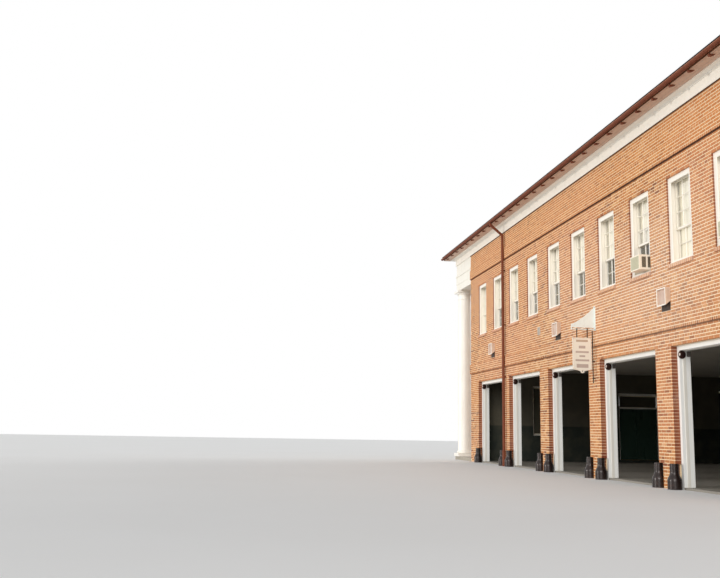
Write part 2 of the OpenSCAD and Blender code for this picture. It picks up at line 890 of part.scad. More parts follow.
// Raking cornices up both slopes of a gable whose face lies at y = -half_d
module gable_rakes() {
    soffit_drop = board_t / cos(roof_pitch);
    foot_y = roof_edge_y + eave_proj;
    slope_l = (foot_y + eave_proj) / cos(roof_pitch);
    for (turn = [0, 1]) mirror([turn, 0, 0]) intersection() {
        translate([foot_y, -half_d, roof_under(foot_y) - soffit_drop]) rotate([0, roof_pitch, 0])
            rotate([90, 0, -90]) linear_extrude(slope_l) rake_section();
        span([0, -half_d - 2 * eave_proj, fascia_top], [roof_edge_y, -half_d, 2 * ridge_z]);
    }
}

module raking_cornices() {
    color("white") {
        on_near_end() gable_rakes();
        on_portico_end() translate([0, -portico_d, 0]) gable_rakes();
    }
}

// A half-round gutter with closed ends along the bay side
module long_gutter() {
    color("sienna") translate([0, half_d - fascia_y - gutter_r, fascia_top]) {
        along_wall(verge_far_x, verge_near_x) difference() {
            circle(gutter_r - seat);
            circle(gutter_r - seat - sheet_t);
            translate([-gutter_r, 0]) square([2 * gutter_r, gutter_r]);
        }
        for (x = [verge_far_x, verge_near_x - sheet_t])
            along_wall(x, x + sheet_t) difference() {
                circle(gutter_r - seat);
                translate([-gutter_r, 0]) square([2 * gutter_r, gutter_r]);
            }
    }
}

module front_gutter() {
    long_gutter();
}

module rear_gutter() {
    mirror([0, 1, 0]) long_gutter();
}

module portico_floor() {
    color("lightgray")
        span([far_face - step_out, -half_d, 0], [-half_l - belt_proj, half_d, step_h]);
}

// Radius of a column's shaft at a share of its height: straight for a third, then swelling in
function shaft_r(share) = let (s = max(0, (share - 1 / 3) * 3 / 2))
    column_r - (column_r - column_top_r) * 2 * (1 - cos(60 * s));

// One round column with plinth, roll, fillets, swelling shaft, bead, neck, echinus and cap
module column() {
    plinth_h = 130;
    roll_h = 110;
    fillet_h = 24;
    fillet_out = 18;
    bead_r = 20;
    neck_h = 190;
    echinus_h = 110;
    cap_h = 95;
    shaft_steps = 12;
    height = beam_z - step_h;
    shaft_z = plinth_h + roll_h + fillet_h;
    cap_z = height - cap_h;
    echinus_z = cap_z - echinus_h;
    bead_z = echinus_z - neck_h;
    shaft_l = echinus_z - shaft_z;
    translate([-plinth_w / 2, -plinth_w / 2, 0]) cube([plinth_w, plinth_w, plinth_h]);
    rotate_extrude() union() {
        polygon(concat(
            [[0, 0], [column_r, 0], [column_r, shaft_z - fillet_h]],
            [[column_r + fillet_out, shaft_z - fillet_h], [column_r + fillet_out, shaft_z]],
            [for (i = [0:shaft_steps]) [shaft_r(i / shaft_steps), shaft_z + shaft_l * i / shaft_steps]],
            [[column_top_r + fillet_out, echinus_z]],
            quarter_round([column_top_r + fillet_out, echinus_z + fillet_h], [plinth_w / 2 - bead_r, cap_z]),
            [[0, cap_z]]
        ));
        translate([column_r, plinth_h + roll_h / 2]) circle(roll_h / 2);
        translate([column_top_r, bead_z]) circle(bead_r);
    }
    translate([-plinth_w / 2, -plinth_w / 2, cap_z]) cube([plinth_w, plinth_w, cap_h]);
}

module columns() {
    color("white") for (y = column_ys) translate([column_x, y, step_h]) column();
}

// The beams' outer block between two heights, standing out by the given distance
module beam_block(z0, z1, proj) {
    span([far_face - proj, -half_d - proj, z0], [-half_l, half_d + proj, z1]);
}

// Beams on three sides of the portico: a stepped architrave, its moulding and the frieze
module entablature() {
    face_step = 15;
    step_z = beam_z + architrave_low_h;
    taenia_z = step_z + architrave_high_h;
    color("white") difference() {
        union() {
            beam_block(beam_z, fascia_top, 0);
            beam_block(step_z, taenia_z, face_step);
            beam_block(taenia_z, taenia_z + taenia_h, taenia_proj);
        }
        span([far_face + beam_w, -half_d + beam_w, beam_z - over],
            [-half_l + over, half_d - beam_w, fascia_top + over]);
    }
}

module portico_ceiling() {
    ceiling_lift = 60;
    color("white")
        span([far_face + beam_w, -half_d + beam_w, beam_z + ceiling_lift],
            [-half_l, half_d - beam_w, beam_z + ceiling_lift + ceiling_t]);
}

// The pediment's field, from the level cornice up to the roof
module pediment() {
    field_t = 120;
    color("white") along_roof(far_face, far_face + field_t) polygon([
        [-half_d, fascia_top],
        [half_d, fascia_top],
        [half_d, roof_under(half_d)],
        [0, roof_under(0)],
        [-half_d, roof_under(half_d)]
    ]);
}

// Frame of the entrance, with a bar between the doors and the light over them
module entrance_frame() {
    frame_y = -half_d + frame_back;
    color("white") on_portico_end() difference() {
        span([-entrance_w / 2, frame_y, step_h], [entrance_w / 2, frame_y + frame_d, step_h + entrance_h]);
        span([-entrance_clear, -half_d, step_h - over], [entrance_clear, -inner_d, step_h + door_h]);
        span([-entrance_clear, -half_d, transom_z], [entrance_clear, -inner_d, transom_top]);
    }
}

// One panelled leaf between two widths
module door_leaf(x0, x1) {
    panel_back = 14;
    lock_z = 780;
    top_z = door_h - 3 * stile_w;
    door_y = -half_d + upper_sash_y;
    span([x0, door_y + panel_back, step_h + seat], [x1, door_y + door_t - panel_back, step_h + door_h]);
    difference() {
        span([x0, door_y, step_h + seat], [x1, door_y + door_t, step_h + door_h]);
        for (z = [[stile_w, lock_z], [lock_z + stile_w, top_z - stile_w], [top_z, door_h - stile_w]])
            span([x0 + stile_w, door_y - over, step_h + z[0]],
                [x1 - stile_w, door_y + door_t + over, step_h + z[1]]);
    }
}

module entrance_doors() {
    gap = 3;
    color("white") on_portico_end() {
        door_leaf(-entrance_clear, -gap / 2);
        door_leaf(gap / 2, entrance_clear);
    }
}

// One slope of the roof, cut off level over the fascia and upright at the gutter
module one_slope() {
    flat = (roof_drop - roof_edge_h) / roof_slope;
    along_roof(roof_far_x, roof_near_x) polygon([
        [0, ridge_z],
        [roof_edge_y, roof_edge_z],
        [roof_edge_y, fascia_top + seat],
        [roof_edge_y - flat, fascia_top + seat],
        [0, ridge_z - roof_drop]
    ]);
}

module front_roof() {
    color("slategray") one_slope();
}

module rear_roof() {
    color("slategray") mirror([0, 1, 0]) one_slope();
}

module ridge_cap() {
    cap_w = 160;
    cap_t = 22;
    cap_fall = cap_w * roof_slope;
    color("dimgray") translate([0, 0, ridge_z + seat]) along_roof(roof_far_x, roof_near_x) polygon([
        [0, 0],
        [cap_w, -cap_fall],
        [cap_w, cap_t - cap_fall],
        [0, cap_t],
        [-cap_w, cap_t - cap_fall],
        [-cap_w, -cap_fall]
    ]);
}

ground_slab();
upper_floor();
attic_floor();
front_piers();
front_wall();
rear_wall();
near_end_wall();
portico_end_wall();
bay_frames();
wheel_guards();
bay_bells();
front_window_frames();
front_sashes();
front_glass();
rear_window_frames();
rear_sashes();
rear_glass();
end_window_frames();
end_sashes();
end_glass();
wall_lamps();
air_conditioners();
wall_vent();
sign_bracket();
sign_board();
sign_conduit();
front_downspout();
rear_downspout();
front_cornice();
rear_cornice();
portico_cornice();
raking_cornices();
front_gutter();
rear_gutter();
portico_floor();
columns();
entablature();
portico_ceiling();
pediment();
entrance_frame();
entrance_doors();
front_roof();
rear_roof();
ridge_cap();
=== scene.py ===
"""Dresses the brick fire station: bricks, slates, windows, cornices, portico, bays and fittings."""

import math
import random

import bmesh
import bpy
from bpy.props import FloatProperty, FloatVectorProperty, IntProperty, PointerProperty
from mathutils import Matrix, Vector


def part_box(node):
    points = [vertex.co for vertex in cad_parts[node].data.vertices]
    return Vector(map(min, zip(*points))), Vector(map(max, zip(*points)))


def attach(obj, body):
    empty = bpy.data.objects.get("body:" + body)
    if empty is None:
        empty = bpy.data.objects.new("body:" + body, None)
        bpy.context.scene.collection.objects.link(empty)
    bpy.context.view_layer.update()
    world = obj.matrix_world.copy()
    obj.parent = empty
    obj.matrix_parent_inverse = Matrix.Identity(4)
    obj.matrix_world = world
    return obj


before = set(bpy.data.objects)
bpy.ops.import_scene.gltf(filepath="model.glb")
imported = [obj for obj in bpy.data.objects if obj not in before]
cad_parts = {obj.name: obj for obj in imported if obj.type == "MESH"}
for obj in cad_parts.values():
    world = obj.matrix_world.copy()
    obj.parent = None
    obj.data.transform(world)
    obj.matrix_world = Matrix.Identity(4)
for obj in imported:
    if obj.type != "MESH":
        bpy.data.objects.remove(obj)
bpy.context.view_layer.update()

bl_info = {
    "name": "Brick fire station",
    "version": (1, 0, 0),
    "blender": (4, 5, 0),
    "location": "3D View > Sidebar > Fire Station",
    "description": "Lays the bricks and slates and fits out the windows, portico and bays",
    "category": "Object",
}

# Walls and bays, with sizes read from the frame where a box gives them
PIERS_LOW, PIERS_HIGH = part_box("front_piers")
HALF_L, HALF_D, BAY_H = PIERS_HIGH.x, -PIERS_LOW.y, PIERS_HIGH.z
BAY_COUNT, BAY_PITCH, BAY_W = 5, 4.02, 3.25
BAY_REVEAL, JAMB_W, HEADER_H = 0.14, 0.095, 0.105
NOTCH_H, NOTCH_W = 0.572, 0.19
BAY_XS = [(i - 2) * BAY_PITCH for i in range(BAY_COUNT)]

# Brickwork: belts, corners, how high the portico end is bonded and bricked, and least sizes
LOWER_BELT, UPPER_BELT, BELT_H, BELT_OUT = 3.62, 7.658, 0.381, 0.038
CORNER_STEP, CORNER_DEPTH, LAP = 0.109, 0.098, 0.002
BOND_TOP, PORTICO_TOP = 7.5, 7.56
ON_EDGE_W, SHORT_BRICK, SLIVER = 0.0665, 0.045, 0.02
SILL_H = 0.1

# Windows and the air conditioners in two of them
FRAMES_LOW, FRAMES_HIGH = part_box("front_window_frames")
SILL_Z, LOW_SILL_Z = FRAMES_LOW.z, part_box("rear_window_frames")[0].z
WINDOW_H = FRAMES_HIGH.z - SILL_Z
WINDOW_W = FRAMES_HIGH.x - FRAMES_LOW.x - 9 * BAY_PITCH / 2
WINDOW_XS = [(k - 4.5) * BAY_PITCH / 2 for k in range(10)]
END_PITCH = 4.2
FRAME_W, SASH_W, SASH_T, LOWER_SASH, CASING_W = 0.062, 0.048, 0.04, 0.79, 0.13
FRAME_BACK = HALF_D + FRAMES_LOW.y
UPPER_BACK = FRAME_BACK + 0.12
SHADE_BACK = UPPER_BACK + 2 * SASH_T + 0.012
COOLER_W, COOLER_H, COOLER_OUT, COOLER_GAP = 0.48, 0.37, 0.25, 0.03

# Roof, cornice and gutters
ROOF_LOW, ROOF_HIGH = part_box("front_roof")
PITCH, ROOF_T = math.radians(26), 0.15
EDGE_Y, EDGE_Z, RIDGE_Z = -ROOF_LOW.y, ROOF_HIGH.z + ROOF_LOW.y * math.tan(PITCH), ROOF_HIGH.z
SHORT_SLATE, SLATE_GAP, SLATE_UNEVEN = 0.06, 0.004, 0.0016
SLATE_LIFT, SLATE_TILT = 0.0115, 0.013
FRIEZE_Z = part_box("front_cornice")[0].z
EAVE_OUT, SOFFIT_UP = 0.49, 0.32
GUTTER_LOW, GUTTER_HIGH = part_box("front_gutter")
GUTTER_R, FIRST_HANGER = 0.066, 16.05 - HALF_L

# Portico and entrance
PORTICO_D = 2.4
STEP_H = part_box("portico_floor")[1].z
DOORWAY_W, DOORWAY_H, DOORS_HALF_W, TRANSOM_TOP = 1.9, 2.8, 0.855, 2.685

# Lamps and sign
LAMPS_LOW, LAMPS_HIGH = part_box("wall_lamps")
LAMP_SS = [3.22 + i * 6.93 for i in range(3)]
LAMP_HALF_W, LENS_HALF_W = 0.213, 0.187
SIGN_TOP, SIGN_HALF_W, SIGN_HALF_T = 3.85, 0.2725, 0.013

# Where the photograph was taken from, and its turn, rise and tilt in degrees
PHOTO_PLACE, PHOTO_ANGLES = (25.44, -17.3, 1.198), (8.147, 9.121, 0.983)


# Settings
def colour_setting(name, words, value):
    return FloatVectorProperty(
        name=name, description=words, subtype="COLOR", size=3, min=0, max=1, default=value
    )


def length_setting(name, words, value):
    return FloatProperty(name=name, description=words, default=value, unit="LENGTH")


def strength_setting(name, words, value):
    return FloatProperty(name=name, description=words, default=value, min=0)


def tint(red, green, blue):
    """A colour as it looks on a screen, 0 to 255, turned into scene light."""
    parts = [c / 255 for c in (red, green, blue)]
    return tuple(c / 12.92 if c <= 0.04045 else ((c + 0.055) / 1.055) ** 2.4 for c in parts)


class BrickSettings(bpy.types.PropertyGroup):
    course: length_setting("Course", "Height of a course with its joint", 0.0762)
    joint: length_setting("Joint", "Width of the mortar joints", 0.019)
    stretcher: length_setting("Stretcher", "Length of a brick", 0.204)
    header: length_setting("Header", "Width of a brick's end", 0.097)
    proud: length_setting("Proud", "How far bricks stand out of the joints", 0.004)
    uneven: length_setting("Uneven", "How far single bricks stand in or out", 0.0015)
    bond: IntProperty(
        name="Header courses", description="One course of headers in this many", default=6, min=2
    )
    seed: IntProperty(name="Seed", description="Picks the tone of each brick", default=7)
    clay: colour_setting("Clay", "Colour of most bricks", tint(196, 127, 72))
    pale: colour_setting("Pale clay", "Colour of the palest bricks", tint(224, 170, 116))
    dark: colour_setting("Dark clay", "Colour of the hardest burnt bricks", tint(120, 64, 38))
    mortar: colour_setting("Mortar", "Colour of the joints", tint(254, 242, 220))


class RoofSettings(bpy.types.PropertyGroup):
    slate_w: length_setting("Slate width", "Width of a slate", 0.25)
    exposure: length_setting("Exposure", "Height of a slate's visible part", 0.18)
    slate_l: length_setting("Slate length", "Length of a slate", 0.34)
    slate_t: length_setting("Slate thickness", "Thickness of a slate", 0.009)
    seed: IntProperty(name="Seed", description="Picks the tone of each slate", default=11)
    slate: colour_setting("Slate", "Colour of most slates", tint(98, 102, 108))
    hanger_gap: length_setting("Hanger spacing", "Distance between gutter hangers", 0.835)


class JoinerySettings(bpy.types.PropertyGroup):
    bar_w: length_setting("Bar width", "Width of a glazing bar", 0.022)
    bar_d: length_setting("Bar depth", "Depth of a glazing bar", 0.034)
    paint: colour_setting("Paint", "Colour of the painted woodwork", tint(248, 242, 230))
    soffit: colour_setting("Soffit", "Colour of the eaves boards", tint(206, 176, 156))
    shade: colour_setting("Shades", "Colour of the window shades", tint(252, 246, 226))


class FittingSettings(bpy.types.PropertyGroup):
    rust: colour_setting("Rust", "Colour of the gutters and downspouts", tint(116, 56, 26))
    enamel: colour_setting("Enamel", "Colour of lamps and air conditioners", tint(224, 200, 178))
    sign: colour_setting("Sign", "Colour of the hanging board", tint(246, 238, 222))


class StageSettings(bpy.types.PropertyGroup):
    lens: FloatProperty(name="Lens", description="Focal length of the camera", default=44.0, min=10)
    key: strength_setting("Key light", "Strength of the key light", 1.25)
    side: strength_setting("Side light", "Strength of the wide side light", 1.5)
    back: strength_setting("Back light", "Strength of the light on the rear", 0.9)
    fill: strength_setting("Fill light", "Strength of the light all round", 0.46)
    floor: colour_setting("Floor", "Colour of the floor", (0.86, 0.86, 0.85))


# Finishes
class Nodes:
    """Adds nodes to a tree and links them."""

    def __init__(self, tree):
        self.tree = tree

    def add(self, kind, **settings):
        node = self.tree.nodes.new(kind)
        for key, value in settings.items():
            setattr(node, key, value)
        return node

    def link(self, *links):
        for giver, output, taker, socket in links:
            self.tree.links.new(giver.outputs[output], taker.inputs[socket])


class Finish(Nodes):
    """A procedural material, built node by node on Object coordinates."""

    def __init__(self, name, roughness=0.6, metallic=0.0, **sockets):
        self.material = bpy.data.materials.new(name)
        self.material.use_nodes = True
        super().__init__(self.material.node_tree)
        self.shader = self.tree.nodes["Principled BSDF"]
        self.shader.inputs["Roughness"].default_value = roughness
        self.shader.inputs["Metallic"].default_value = metallic
        for socket, value in sockets.items():
            self.shader.inputs[socket.replace("_", " ")].default_value = value
        self.place = self.add("ShaderNodeTexCoord").outputs["Object"]

    def wire(self, socket, value):
        if isinstance(value, bpy.types.NodeSocket):
            self.tree.links.new(value, socket)
        else:
            socket.default_value = (*value, 1) if socket.type == "RGBA" else value

    def noise(self, scale, detail=3.0, rough=0.6, stretch=None):
        node = self.add("ShaderNodeTexNoise")
        place = self.place
        if stretch:
            mapping = self.add("ShaderNodeMapping")
            self.wire(mapping.inputs["Vector"], place)
            mapping.inputs["Scale"].default_value = stretch
            place = mapping.outputs["Vector"]
        for name, value in (("Vector", place), ("Scale", scale), ("Detail", detail), ("Roughness", rough)):
            self.wire(node.inputs[name], value)
        return node.outputs["Fac"]

    def attribute(self, name):
        return self.add("ShaderNodeAttribute", attribute_name=name).outputs["Fac"]

    def axis(self, letter):
        node = self.add("ShaderNodeSeparateXYZ")
        self.wire(node.inputs[0], self.place)
        return node.outputs[letter]

    def maths(self, operation, first, second=0.0, clamp=False):
        node = self.add("ShaderNodeMath", operation=operation, use_clamp=clamp)
        self.wire(node.inputs[0], first)
        self.wire(node.inputs[1], second)
        return node.outputs[0]

    def times(self, first, second, clamp=False):
        return self.maths("MULTIPLY", first, second, clamp)

    def above(self, first, second):
        return self.maths("GREATER_THAN", first, second)

    def below(self, first, second):
        return self.maths("LESS_THAN", first, second)

    def within(self, letter, reach):
        """Where an axis is nearer the middle than reach."""
        return self.below(self.maths("ABSOLUTE", self.axis(letter)), reach)

    def zigzag(self, letter, spacing, shift):
        """Rises and falls along an axis, back at 0 once every spacing; shift keeps places above 0."""
        return self.maths("PINGPONG", self.maths("ADD", self.axis(letter), shift), spacing / 2)

    def span(self, value, low, high, to_low=0.0, to_high=1.0):
        node = self.add("ShaderNodeMapRange")
        names = ("Value", "From Min", "From Max", "To Min", "To Max")
        for name, given in zip(names, (value, low, high, to_low, to_high)):
            self.wire(node.inputs[name], given)
        return node.outputs["Result"]

    def ramp(self, value, stops):
        node = self.add("ShaderNodeValToRGB")
        self.wire(node.inputs["Fac"], value)
        points = node.color_ramp.elements
        while len(points) < len(stops):
            points.new(0.5)
        for point, (where, colour) in zip(points, stops):
            point.position = where
            point.color = (*colour, 1)
        return node.outputs["Color"]

    def mix(self, share, first, second):
        node = self.add("ShaderNodeMix", data_type="RGBA")
        for socket, value in ((node.inputs[0], share), (node.inputs[6], first), (node.inputs[7], second)):
            self.wire(socket, value)
        return node.outputs[2]

    def layer(self, base, colour, *spread):
        """Lays a colour over base; spread is a field, its range and the shares at the range's ends."""
        return self.mix(self.span(*spread), base, colour)

    def bump(self, height, distance, strength=1.0, under=None):
        node = self.add("ShaderNodeBump")
        self.wire(node.inputs["Height"], height)
        node.inputs["Distance"].default_value = distance
        node.inputs["Strength"].default_value = strength
        if under is not None:
            self.wire(node.inputs["Normal"], under)
        return node.outputs["Normal"]

    def end(self, colour=None, rough=None, normal=None):
        """Gives the shader what was built and hands back the material."""
        for name, value in (("Base Color", colour), ("Roughness", rough), ("Normal", normal)):
            if value is not None:
                self.wire(self.shader.inputs[name], value)
        return self.material


def shaded(colour, share):
    return tuple(c * share for c in colour)


def toned(colour, shares):
    return tuple(c * share for c, share in zip(colour, shares))


def blend(first, second, share):
    return tuple(a * (1 - share) + b * share for a, b in zip(first, second))


# Colour of the painted shadow under the brick belts
BELT_SHADOW = tint(74, 38, 22)


def brick_finish(name, settings, paling=0.0):
    """Fired clay: a tone for each brick, broad rosy patches, and painted shade that darkens the brick ends
    facing into the openings.
    paling is how far the clay is blended towards a pale pink."""
    made = Finish(name, 0.86)
    tone = made.attribute("tone")
    # A pale pink that the sill bricks are blended towards.
    washed = tint(240, 206, 186)
    kinds = (settings.clay, settings.pale, settings.dark)
    clay, pale, dark = (blend(colour, washed, paling) for colour in kinds)
    deep = blend(clay, dark, 0.5)
    fired = made.ramp(tone, [(0.0, dark), (0.12, deep), (0.34, clay), (0.64, clay), (1.0, pale)])
    patches = made.span(made.noise(0.22, 2.0), 0.42, 0.62)
    rosy = made.mix(made.times(patches, 0.4), fired, tint(216, 142, 104))
    tawny = made.span(made.noise(0.31, 2.0, 0.5, (1, 1, 1.7)), 0.5, 0.66, 0.0, 0.4)
    upper = made.span(made.axis("Z"), UPPER_BELT - 0.4, UPPER_BELT + 0.2, 0.0, 0.5)
    rosy = made.mix(made.maths("MAXIMUM", tawny, upper), rosy, tint(212, 136, 64))
    rosy = made.mix(made.times(bleached(made), 0.4), rosy, tint(234, 188, 148))
    # Painted shade: brick ends facing into the openings turn deep red, as if in shadow.
    burnt = made.mix(made.times(shaded_reveals(made), 0.72), rosy, tint(112, 38, 24))
    grain = made.noise(55, 5, 0.7)
    speckled = made.layer(burnt, tint(96, 44, 26), grain, 0.3, 0.75, 0.2, 0.0)
    bloomed = made.layer(speckled, tint(238, 212, 184), made.noise(2.3, 5, 0.7), 0.6, 0.82, 0.0, 0.42)
    # The bricks just below the belts get the painted shadow.
    return made.end(
        made.mix(belt_shadows(made), bloomed, BELT_SHADOW),
        made.span(grain, 0.3, 0.7, 0.94, 0.76),
        made.bump(grain, 0.004, 0.6, made.bump(made.noise(9, 2), 0.006, 0.5)),
    )


def bleached(made):
    """Where the storey above the bays is washed palest, towards the near end."""
    level = made.times(made.span(made.axis("Z"), 7.3, 5.8), made.span(made.axis("Z"), 2.6, 4.2))
    along = made.times(made.span(made.axis("X"), -4.0, 6.0), made.span(made.axis("X"), 9.8, 6.4))
    return made.times(level, along)


def shaded_reveals(made):
    """Where brickwork faces into an opening rather than out of the wall: there it gets painted shade."""
    sides = made.add("ShaderNodeSeparateXYZ")
    made.wire(sides.inputs[0], made.add("ShaderNodeNewGeometry").outputs["Normal"])
    sideways = made.above(made.maths("ABSOLUTE", sides.outputs["X"]), 0.8)
    return made.times(sideways, made.within("X", HALF_L - 0.05))


def belt_shadows(made):
    """Painted shadow: a dark band just below both brick belts, heavier under the upper one."""
    level = made.maths("ADD", made.axis("Z"), made.span(made.noise(14, 3), 0.3, 0.7, -0.006, 0.006))
    lines = [
        made.times(made.above(level, belt - 0.034), made.below(level, belt + 0.006))
        for belt in (LOWER_BELT, UPPER_BELT)
    ]
    return made.maths("ADD", made.times(lines[0], 0.45), made.times(lines[1], 0.85))


def wall_finish(settings):
    """Mortar outside, and painted plaster inside, darkened as painted shade of the dim hall and upstairs
    rooms.
    """
    made = Finish("mortar", 0.93)
    sand = made.noise(120, 4, 0.7)
    soot = made.noise(0.9, 4, 0.6, (1, 1, 0.4))
    mortar = made.mix(bleached(made), tint(249, 226, 186), settings.mortar)
    mortar = made.layer(mortar, tint(216, 188, 156), sand, 0.35, 0.7, 0.15, 0.0)
    mortar = made.layer(mortar, tint(200, 168, 140), soot, 0.5, 0.8, 0.0, 0.22)
    # Painted shadow below the belts in the mortar as well.
    mortar = made.mix(belt_shadows(made), mortar, BELT_SHADOW)
    # Painted shade: the mortar on the openings' side faces is darkened too.
    mortar = made.mix(made.times(shaded_reveals(made), 0.6), mortar, tint(150, 78, 62))
    inside = made.times(made.within("X", HALF_L - 0.26), made.within("Y", HALF_D - 0.26))
    # Painted shade: the inside plaster is darkened, most in the hall below, to stand for the dim interior.
    dado, hall, upstairs = tint(44, 50, 44), tint(84, 80, 68), tint(142, 132, 98)
    levels = [(0.0, dado), (0.187, dado), (0.188, hall), (0.5, hall), (0.501, upstairs)]
    plaster = made.ramp(made.span(made.axis("Z"), 0.0, 8.0), levels)
    plaster = made.layer(plaster, tint(120, 110, 88), made.noise(1.6, 5), 0.45, 0.8, 0.0, 0.3)
    return made.end(made.mix(inside, mortar, plaster), None, made.bump(sand, 0.003, 0.6))


def paint_finish(name, colour, grime=0.5, roughness=0.48, boards=None, above=None):
    """Weathered oil paint on wood. boards is an axis and a spacing for tongued boards, and above is a
    height and the colour from there up."""
    made = Finish(name, roughness)
    brush = made.noise(70, 3, 0.6, (1, 1, 0.18))
    streaks = made.noise(5.5, 5, 0.62, (1, 1, 0.14))
    cloud = made.noise(0.7, 3)
    stain = toned(shaded(colour, 0.86), (0.86, 0.78, 0.66))
    base = made.layer(colour, shaded(colour, 0.93), cloud, 0.35, 0.7, 0.0, 0.5)
    base = made.layer(base, stain, streaks, 0.52, 0.8, 0.0, grime)
    lift = made.bump(brush, 0.0012, 0.5)
    if boards:
        letter, spacing = boards
        edge = made.span(made.zigzag(letter, spacing, 40.0), 0.0, 0.006)
        base = made.mix(edge, shaded(colour, 0.42), base)
        lift = made.bump(edge, 0.004, 0.8, lift)
    if above:
        base = made.mix(made.above(made.axis("Z"), above[0]), base, above[1])
    return made.end(base, made.span(streaks, 0.4, 0.8, roughness - 0.06, roughness + 0.2), lift)


def metal_finish(name, colour, rust=0.4, roughness=0.45, metallic=0.0, rust_colour=None):
    """Painted or bare sheet metal with rust that breaks through."""
    made = Finish(name, roughness, metallic)
    spots = made.noise(14, 6, 0.68)
    runs = made.noise(9, 4, 0.6, (1, 1, 0.12))
    rusty = rust_colour or tint(120, 62, 34)
    eaten = made.times(made.span(spots, 0.5, 0.66), made.span(runs, 0.36, 0.62), clamp=True)
    base = made.layer(colour, shaded(colour, 0.78), made.noise(2.1, 4), 0.4, 0.75, 0.0, 0.4)
    base = made.mix(made.times(eaten, rust), base, rusty)
    rough = made.span(eaten, 0.0, 1.0, roughness, min(0.95, roughness + 0.35))
    return made.end(base, rough, made.bump(spots, 0.002, 0.5))


def slate_finish(settings):
    """Split slate: a tone for each slate, fine layers and some lichen."""
    made = Finish("slate", 0.55)
    base = settings.slate
    green, plum = toned(base, (0.86, 1.04, 0.92)), toned(base, (1.12, 0.92, 1.02))
    tones = [(0.0, shaded(base, 0.62)), (0.35, base), (0.6, green), (0.82, plum), (1.0, shaded(base, 1.35))]
    layers = made.noise(26, 6, 0.7, (1, 0.35, 1))
    split = made.ramp(made.attribute("tone"), tones)
    split = made.layer(split, shaded(base, 0.45), layers, 0.3, 0.7, 0.25, 0.0)
    mossy = made.layer(split, tint(150, 148, 128), made.noise(3.1, 6, 0.7), 0.62, 0.78, 0.0, 0.4)
    return made.end(mossy, made.span(layers, 0.3, 0.7, 0.48, 0.72), made.bump(layers, 0.004, 0.7))


def stone_finish(name, colour, slab=None, roughness=0.8):
    """Cast or cut stone and concrete; slab is the spacing of joints along X and Y."""
    made = Finish(name, roughness)
    grain = made.noise(90, 5, 0.7)
    stains = made.noise(0.8, 6, 0.62)
    base = made.layer(colour, shaded(colour, 0.6), grain, 0.35, 0.7, 0.22, 0.0)
    base = made.layer(base, shaded(colour, 0.66), stains, 0.46, 0.74, 0.0, 0.42)
    lift = made.bump(grain, 0.002, 0.6)
    if slab:
        edge = made.times(*(
            made.span(made.zigzag(letter, step, 60.0), 0.002, 0.007) for letter, step in zip("XY", slab)
        ))
        base = made.mix(edge, shaded(colour, 0.4), base)
        lift = made.bump(edge, 0.004, 0.9, lift)
    return made.end(base, made.span(stains, 0.4, 0.75, roughness + 0.08, roughness - 0.16), lift)


def glass_finish():
    """Old drawn glass: clear to light, with a mirror sheen that grows towards grazing views."""
    made = Finish("window_glass", 0.04, 1.0, Base_Color=(0.97, 0.98, 0.97, 1))
    slant = made.add("ShaderNodeLayerWeight")
    slant.inputs["Blend"].default_value = 0.5
    sheen = made.times(made.maths("POWER", slant.outputs["Facing"], 5.0), 0.9)
    dust = made.noise(7, 5, 0.65)
    film = made.maths("ADD", sheen, made.span(dust, 0.5, 0.8, 0.05, 0.1), clamp=True)
    made.wire(made.shader.inputs["Alpha"], film)
    ripple = made.bump(made.noise(2.2, 2, 0.5, (1, 1, 0.6)), 0.004, 0.35)
    return made.end(None, made.span(dust, 0.45, 0.8, 0.02, 0.16), ripple)


def cloth_finish(name, colour):
    """Woven window shade; its weave follows the cloth's own UV map."""
    made = Finish(name, 0.88, Sheen_Weight=0.15, Transmission_Weight=0.0)
    uv = made.add("ShaderNodeTexCoord").outputs["UV"]
    weave = made.add("ShaderNodeTexWave", wave_type="BANDS", bands_direction="Y")
    made.wire(weave.inputs["Vector"], uv)
    weave.inputs["Scale"].default_value = 60
    weave.inputs["Distortion"].default_value = 0.6
    aged = made.layer(colour, shaded(colour, 0.8), made.noise(1.7, 4, 0.6), 0.4, 0.75, 0.0, 0.4)
    return made.end(aged, None, made.bump(weave.outputs["Fac"], 0.0008, 0.5))


def lens_finish():
    """Pressed glass with fine upright ribs."""
    made = Finish("lamp_lens", 0.32, Transmission_Weight=0.25, IOR=1.46)
    ribs = made.zigzag("X", 0.018, 30.0)
    hazy = made.layer(tint(240, 216, 198), tint(220, 184, 164), made.noise(6, 4, 0.6), 0.35, 0.75)
    return made.end(hazy, None, made.bump(made.span(ribs, 0.0, 0.009), 0.003, 0.5))


def dark_finish(name, colour, roughness=0.5, metallic=0.0, wear=None):
    """Dark cast or pressed metal, rubbed pale where it is touched or knocked."""
    made = Finish(name, roughness, metallic)
    casting = made.noise(45, 4, 0.65)
    base = made.layer(colour, shaded(colour, 1.9), casting, 0.35, 0.7, 0.3, 0.0)
    base = made.layer(base, wear or shaded(colour, 3.2), made.noise(7, 6, 0.7), 0.56, 0.74, 0.0, 0.75)
    rough = made.span(casting, 0.3, 0.7, roughness - 0.08, roughness + 0.18)
    return made.end(base, rough, made.bump(casting, 0.002, 0.5))


# Walls, places and shapes
class Wall:
    """One outer wall: s runs along it, d out of it, z up. Walls follow each other round the plan."""

    def __init__(self, corner, along, out, length=1):
        self.length = length
        self.corner, self.along, self.out = Vector(corner), Vector(along), Vector(out)

    def at(self, s, d, z):
        return self.corner + self.along * s + self.out * d + Vector((0, 0, z))

    def size(self, s, d, z):
        return (s, d, z) if self.along.x else (d, s, z)


FRONT = Wall((-HALF_L, -HALF_D, 0), (1, 0, 0), (0, -1, 0), 2 * HALF_L)
NEAR = Wall((HALF_L, -HALF_D, 0), (0, 1, 0), (1, 0, 0), 2 * HALF_D)
REAR = Wall((HALF_L, HALF_D, 0), (-1, 0, 0), (0, 1, 0), 2 * HALF_L)
PORTICO = Wall((-HALF_L, HALF_D, 0), (0, -1, 0), (-1, 0, 0), 2 * HALF_D)

